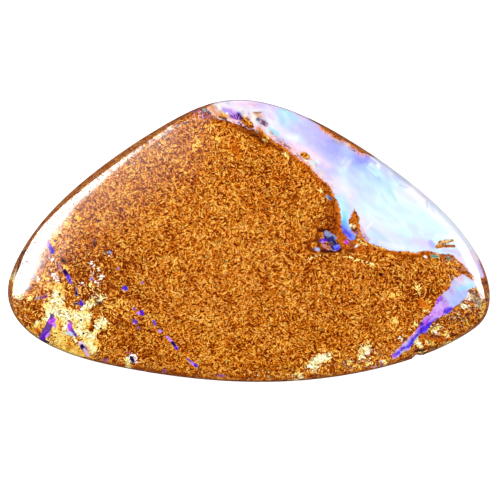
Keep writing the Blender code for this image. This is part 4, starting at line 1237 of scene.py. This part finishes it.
# %% The sand's colour from the grain
CONTRAST, DARK_CONTRAST = 1.8, 1.0      # of the grain, and what the dark patches add to it
DARKEN, PATCHY, PALER = -0.16, 0.18, 0.01
MOST_ROSY, MOST_GOLDEN = 0.4, 0.7
tint = noise(4.0, 1.5, shift=3.0, swirl=0.8)
golden = noise(1.3, 3.0, shift=13.0, swirl=0.6)
patchy = noise(0.7, 4.0, shift=7.0, roughness=0.55)
darkness = carried("dark")
value = about_middle(grain, sums("MULTIPLY_ADD", darkness, DARK_CONTRAST, CONTRAST), GRAIN_MIDDLE)
value = sums("MULTIPLY_ADD", darkness, DARKEN, value)
value = about_middle(patchy, PATCHY, sums("SUBTRACT", value, PALER))
rosy_here = span(tint, 0.50, 0.62, 0.0, MOST_ROSY)
golden_here = span(golden, 0.50, 0.62, 0.0, MOST_GOLDEN)
sand = blend(rosy_here, colour_ramp(value, SAND), colour_ramp(value, ROSY_SAND))
sand = blend(golden_here, sand, colour_ramp(value, GOLDEN_SAND))
print("the shader has", len(tree.nodes), "nodes so far")

# %% [markdown]
# A stain soaks in where the sand lets it. So the grain and larger flakes push a stain's edge about, and a
# half-covered place turns into stained and clean grains side by side, not into a flat tint.

# %% The wall is painted browner, partly painted shade, and stains go over face and wall
WALL_SHADE_BROWN, MOST_WALL_SHADE = (168, 66, 4), 0.3
GRAIN_IN_STAIN = (1.4, 2.4, 4.6)        # most in the blue, so that pale stains turn yellow in the grain
GRAIN_AT_EDGE, FLAKES_AT_EDGE = 3.2, 0.9


def painted(name):
    """A colour that the mesh carries, dimmed so that the daylight brings it back."""
    return vectors("MULTIPLY", carried(name, "Color"), (1 / DAYLIGHT,) * 3)


# the wall's darker brown is partly the ground sand's own tone and partly painted shade on a wall that faces
# away from the lights
sand = blend(sums("MULTIPLY", carried("side"), MOST_WALL_SHADE), sand, WALL_SHADE_BROWN)
flakes = noise(2.6, 3.0, shift=19.0, swirl=0.5)
by_grain = about_middle(grain, GRAIN_AT_EDGE, carried("stained"))
stain_edge = about_middle(flakes, FLAKES_AT_EDGE, by_grain)
lightness = vectors("MULTIPLY_ADD", sums("SUBTRACT", value, GRAIN_MIDDLE), GRAIN_IN_STAIN, (1, 1, 1))
stain_here = vectors("MULTIPLY", painted("stain colour"), lightness)
stained = blend(span(stain_edge, 0.42, 0.58), sand, stain_here)
print("the grain decides where a half-covered place is stained")

# %% [markdown]
# Low on the shoulder a few grains have plucked out and left tiny pits, and the shade in them is painted
# darker. The middle of the face was polished longest and has none. A handful of pinholes went deeper; the
# mesh carves them only faintly, so their shade is painted black.

# %% Plucked grains near the shoulder, and the pinholes
PIT_SHADE_BROWN, MOST_PIT_SHADE = (84, 48, 36), 0.7
PLUCKED_ABOVE, PLUCKED_BELOW = 4.1, 3.8         # no pits above the first height, all below the second
PINHOLE_RADIUS, PINHOLE_SOFTNESS, PINHOLE_SHADE_BLACK = 0.085, 0.03, (20, 6, 0)
height = put("SeparateXYZ", millimetres).outputs["Z"]
plucked = span(noise(4.6, 1.0, shift=41.0), 0.60, 0.69)
plucked = sums("MULTIPLY", plucked, span(height, PLUCKED_ABOVE, PLUCKED_BELOW))
# painted shade: plucked pits near the shoulder are darkened towards a brown
stained = blend(sums("MULTIPLY", plucked, MOST_PIT_SHADE), stained, PIT_SHADE_BROWN)
in_plan = vectors("MULTIPLY", millimetres, (1, 1, 0))
for x, y in PINHOLES:
    away = put("VectorMath", in_plan, (x, y, 0), operation="DISTANCE").outputs["Value"]
    in_hole = span(away, PINHOLE_RADIUS + PINHOLE_SOFTNESS, PINHOLE_RADIUS - PINHOLE_SOFTNESS)
    # painted shade: each pinhole is painted black
    stained = blend(in_hole, stained, PINHOLE_SHADE_BLACK)
print(len(PINHOLES), "pinholes")

# %% Opal cut in, with a ragged border, grain showing through its dark colours, and the peach fringe
RAGGED_BORDER = 0.36
DARK_GREEN, PALE_GREEN = 0.12, 0.40     # how much green tells the dark colours from the pale
FRINGE_ROSE, FRINGE_PEACH, MOST_FRINGE = (240, 186, 176), (222, 136, 84), 0.80
FRINGE_GRAIN = 5.5
fine = noise(5.0, 2.0, shift=31.0)
border = about_middle(fine, RAGGED_BORDER, carried("opal depth"))
opal_here = span(border, -0.06, 0.05)
milky = painted("opal colour")
mottled = vectors("MULTIPLY", milky, about_middle(grain, GRAIN_AT_EDGE, 0.95))
milky = blend(span(put("SeparateXYZ", milky).outputs["Y"], DARK_GREEN, PALE_GREEN), mottled, milky)
scattered = span(about_middle(grain, FRINGE_GRAIN, carried("fringe")), 0.50, 1.00, 0.0, MOST_FRINGE)
scattered = sums("MULTIPLY", scattered, span(carried("fringe"), 0.0, 0.3))
peachy = blend(span(tint, 0.42, 0.58), FRINGE_ROSE, FRINGE_PEACH)
colour = blend(opal_here, stained, blend(scattered, milky, peachy))
tree.links.new(colour, shader.inputs["Base Color"])
print("the shader has", len(tree.nodes), "nodes so far")

# %% [markdown]
# Polish is the other half of the look. Opal and ironstone both take a glassy polish here, the wall only
# a satin and the ground back none at all, and on the left shoulder the polish is worn in patches. One
# roughness is built from those, and the light does the rest. Round the shoulder a few grains have
# plucked out, and each leaves a tiny pit that breaks up the bright reflection. They are too small to
# model, so a bump texture tilts the light there and nowhere else by as much.

# %% Gloss
OPAL_ROUGHNESS, STONE_ROUGHNESS, WALL_ROUGHNESS, GROUND_ROUGHNESS = 0.06, 0.055, 0.25, 0.7
LEAST_WORN, MOST_WORN = 0.10, 0.42      # the roughness that wear adds
REFRACTION = 1.6
dull = span(fine, 0.40, 0.70, STONE_ROUGHNESS, 2 * STONE_ROUGHNESS)
dull = sums("MULTIPLY_ADD", carried("worn"), span(fine, 0.35, 0.65, LEAST_WORN, MOST_WORN), dull)
gloss = switch(opal_here, dull, OPAL_ROUGHNESS)
gloss = switch(carried("side"), gloss, WALL_ROUGHNESS)
gloss = switch(carried("polish"), GROUND_ROUGHNESS, gloss)
tree.links.new(gloss, shader.inputs["Roughness"])
shader.inputs["IOR"].default_value = REFRACTION
print("roughness", OPAL_ROUGHNESS, "on opal and from", STONE_ROUGHNESS, "on ironstone")

# %% The tooth of the sand, and the pits of plucked grains
TOOTH_HEIGHT = 0.038        # millimetres
GRAIN_TOOTH = 0.25          # the threads' share of it
tooth = put("Bump")
tooth.inputs["Distance"].default_value = TOOTH_HEIGHT * MM
tooth.inputs["Strength"].default_value = 1.0
sandy_tooth = sums("SUBTRACT", sums("MULTIPLY", grain, GRAIN_TOOTH), plucked)
smooth_tooth = GRAIN_TOOTH * GRAIN_MIDDLE
tree.links.new(switch(opal_here, sandy_tooth, smooth_tooth), tooth.inputs["Height"])
tree.links.new(tooth.outputs["Normal"], shader.inputs["Normal"])
mesh.materials.append(finish)
print("the finish is on, with", len(tree.nodes), "nodes")

# %% Tie the stone to its solid
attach(opal_stone, "root")
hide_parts("boulder_opal_stone")
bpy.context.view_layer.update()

# %% [markdown]
# ## The studio
# Gemstones are photographed on white, under soft boxes, from straight above. Small shiny things need
# the lights planned as reflections: a box low at the left draws the bright line along the left
# shoulder, another at the right draws the one there, and nothing hangs where the flat top would mirror
# it. The soft overhead light is kept out of reflections for that reason, as a polarising filter would.

# %% A pale floor
FLOOR_RADIUS, FLOOR_SIDES = 1.5, 64
GLOW = 0.45                 # the table is lit from below, so that no grey shadow shows round the stone
WHITE = (1, 1, 1, 1)
PAPER_FINISH = {
    "Base Color": (0.9, 0.9, 0.9, 1), "Roughness": 0.9, "Specular IOR Level": 0.0, "Emission Color": WHITE,
    "Emission Strength": GLOW,
}
floor_mesh = bpy.data.meshes.new("floor")
turns = np.linspace(0, math.tau, FLOOR_SIDES, False)
floor_corners = [(FLOOR_RADIUS * math.cos(a), FLOOR_RADIUS * math.sin(a), 0) for a in turns]
floor_mesh.from_pydata(floor_corners, [], [list(range(FLOOR_SIDES))])
floor = bpy.data.objects.new("floor", floor_mesh)
bpy.context.collection.objects.link(floor)
paper = bpy.data.materials.new("white_paper")
paper.use_nodes = True
for name, value in PAPER_FINISH.items():
    paper.node_tree.nodes["Principled BSDF"].inputs[name].default_value = value
floor_mesh.materials.append(paper)
floor.visible_glossy = False
print("floor", 2 * FLOOR_RADIUS, "m across")


# %% Soft boxes
def panel(name, place, tilt, azimuth, width, height, radiance, seen_by):
    """A rectangular light; tilt is from facing straight down, and radiance is how bright its face is."""
    light = bpy.data.lights.new(name, "AREA")
    light.shape = "RECTANGLE"
    light.size, light.size_y = width, height
    light.energy = radiance * math.pi * width * height
    made = bpy.data.objects.new(name, light)
    made.location = place
    made.rotation_euler = (tilt, 0, azimuth + math.pi / 2)
    made.visible_camera = False
    made.visible_diffuse = seen_by == "diffuse"
    made.visible_glossy = seen_by == "glossy"
    bpy.context.collection.objects.link(made)


def soft_box(name, azimuth, zenith, distance, width, height, radiance, seen_by):
    """A panel aimed at the stone; azimuth from +X towards +Y, zenith from straight up, in degrees."""
    a, z = math.radians(azimuth), math.radians(zenith)
    place = [distance * v for v in (math.sin(z) * math.cos(a), math.sin(z) * math.sin(a), math.cos(z))]
    panel(name, place, z, a, width, height, radiance, seen_by)


def standing_panel(name, azimuth, distance, width, bottom, top, radiance, seen_by):
    """An upright panel that faces the stone from the side, between two heights."""
    a = math.radians(azimuth)
    place = (distance * math.cos(a), distance * math.sin(a), (bottom + top) / 2)
    panel(name, place, math.pi / 2, a, width, top - bottom, radiance, seen_by)


print("two kinds of light: boxes aimed at the stone, and panels standing beside it")

# %% Boxes that light the stone, and panels that it mirrors
soft_box("overhead", 0, 0, 0.6, 0.6, 0.6, 4.2, "diffuse")
soft_box("fill_left", 155, 62, 0.5, 0.58, 0.50, 1.5, "diffuse")
soft_box("fill_right", 20, 62, 0.5, 0.50, 0.40, 1.5, "diffuse")
PANEL_DISTANCE = 0.5
# Each panel stands in strips, bottom, top, radiance and width, that grow dimmer upwards, so that the
# reflection fades out towards the middle of the stone.
LEFT_STRIPS = (
    (0.0, 0.42, 26.0, 0.53), (0.42, 0.50, 12.0, 0.53), (0.50, 0.62, 6.0, 0.68), (0.62, 0.85, 3.0, 0.68),
    (0.85, 1.2, 1.2, 0.68),
)
RIGHT_STRIPS = ((0.0, 0.43, 28.0, 0.28), (0.43, 0.50, 8.0, 0.28), (0.50, 0.60, 2.0, 0.28))
for side_name, azimuth, strips in (("left", 154.6, LEFT_STRIPS), ("right", 20.5, RIGHT_STRIPS)):
    for bottom, top, radiance, width in strips:
        name = f"shine_{side_name}_{bottom}"
        standing_panel(name, azimuth, PANEL_DISTANCE, width, bottom, top, radiance, "glossy")
print(len(bpy.data.lights), "lights")

# %% The room around
ROOM_LIGHT, BACKDROP = 0.03, 1.0        # what the stone gets from the room, and what the camera sees of it
world = bpy.data.worlds.new("room")
bpy.context.scene.world = world
world.use_nodes = True
room = world.node_tree
background = room.nodes["Background"]
path = room.nodes.new("ShaderNodeLightPath")
shade = room.nodes.new("ShaderNodeMapRange")
room.links.new(path.outputs["Is Camera Ray"], shade.inputs["Value"])
shade.inputs["To Min"].default_value = ROOM_LIGHT
shade.inputs["To Max"].default_value = BACKDROP
room.links.new(shade.outputs[0], background.inputs["Strength"])
background.inputs["Color"].default_value = WHITE
bpy.context.scene.view_settings.view_transform = "Standard"
print("the room's light is", ROOM_LIGHT)

# %% The camera, straight above
camera = bpy.data.objects.new("camera", bpy.data.cameras.new("camera"))
camera.data.lens = 400      # a long lens from far off, which hardly narrows the far side
camera.data.sensor_width = 36
camera.location = (0.00009, -0.00069, 0.4182)
bpy.context.collection.objects.link(camera)
bpy.context.scene.camera = camera
print("camera", [round(v, 4) for v in camera.location])
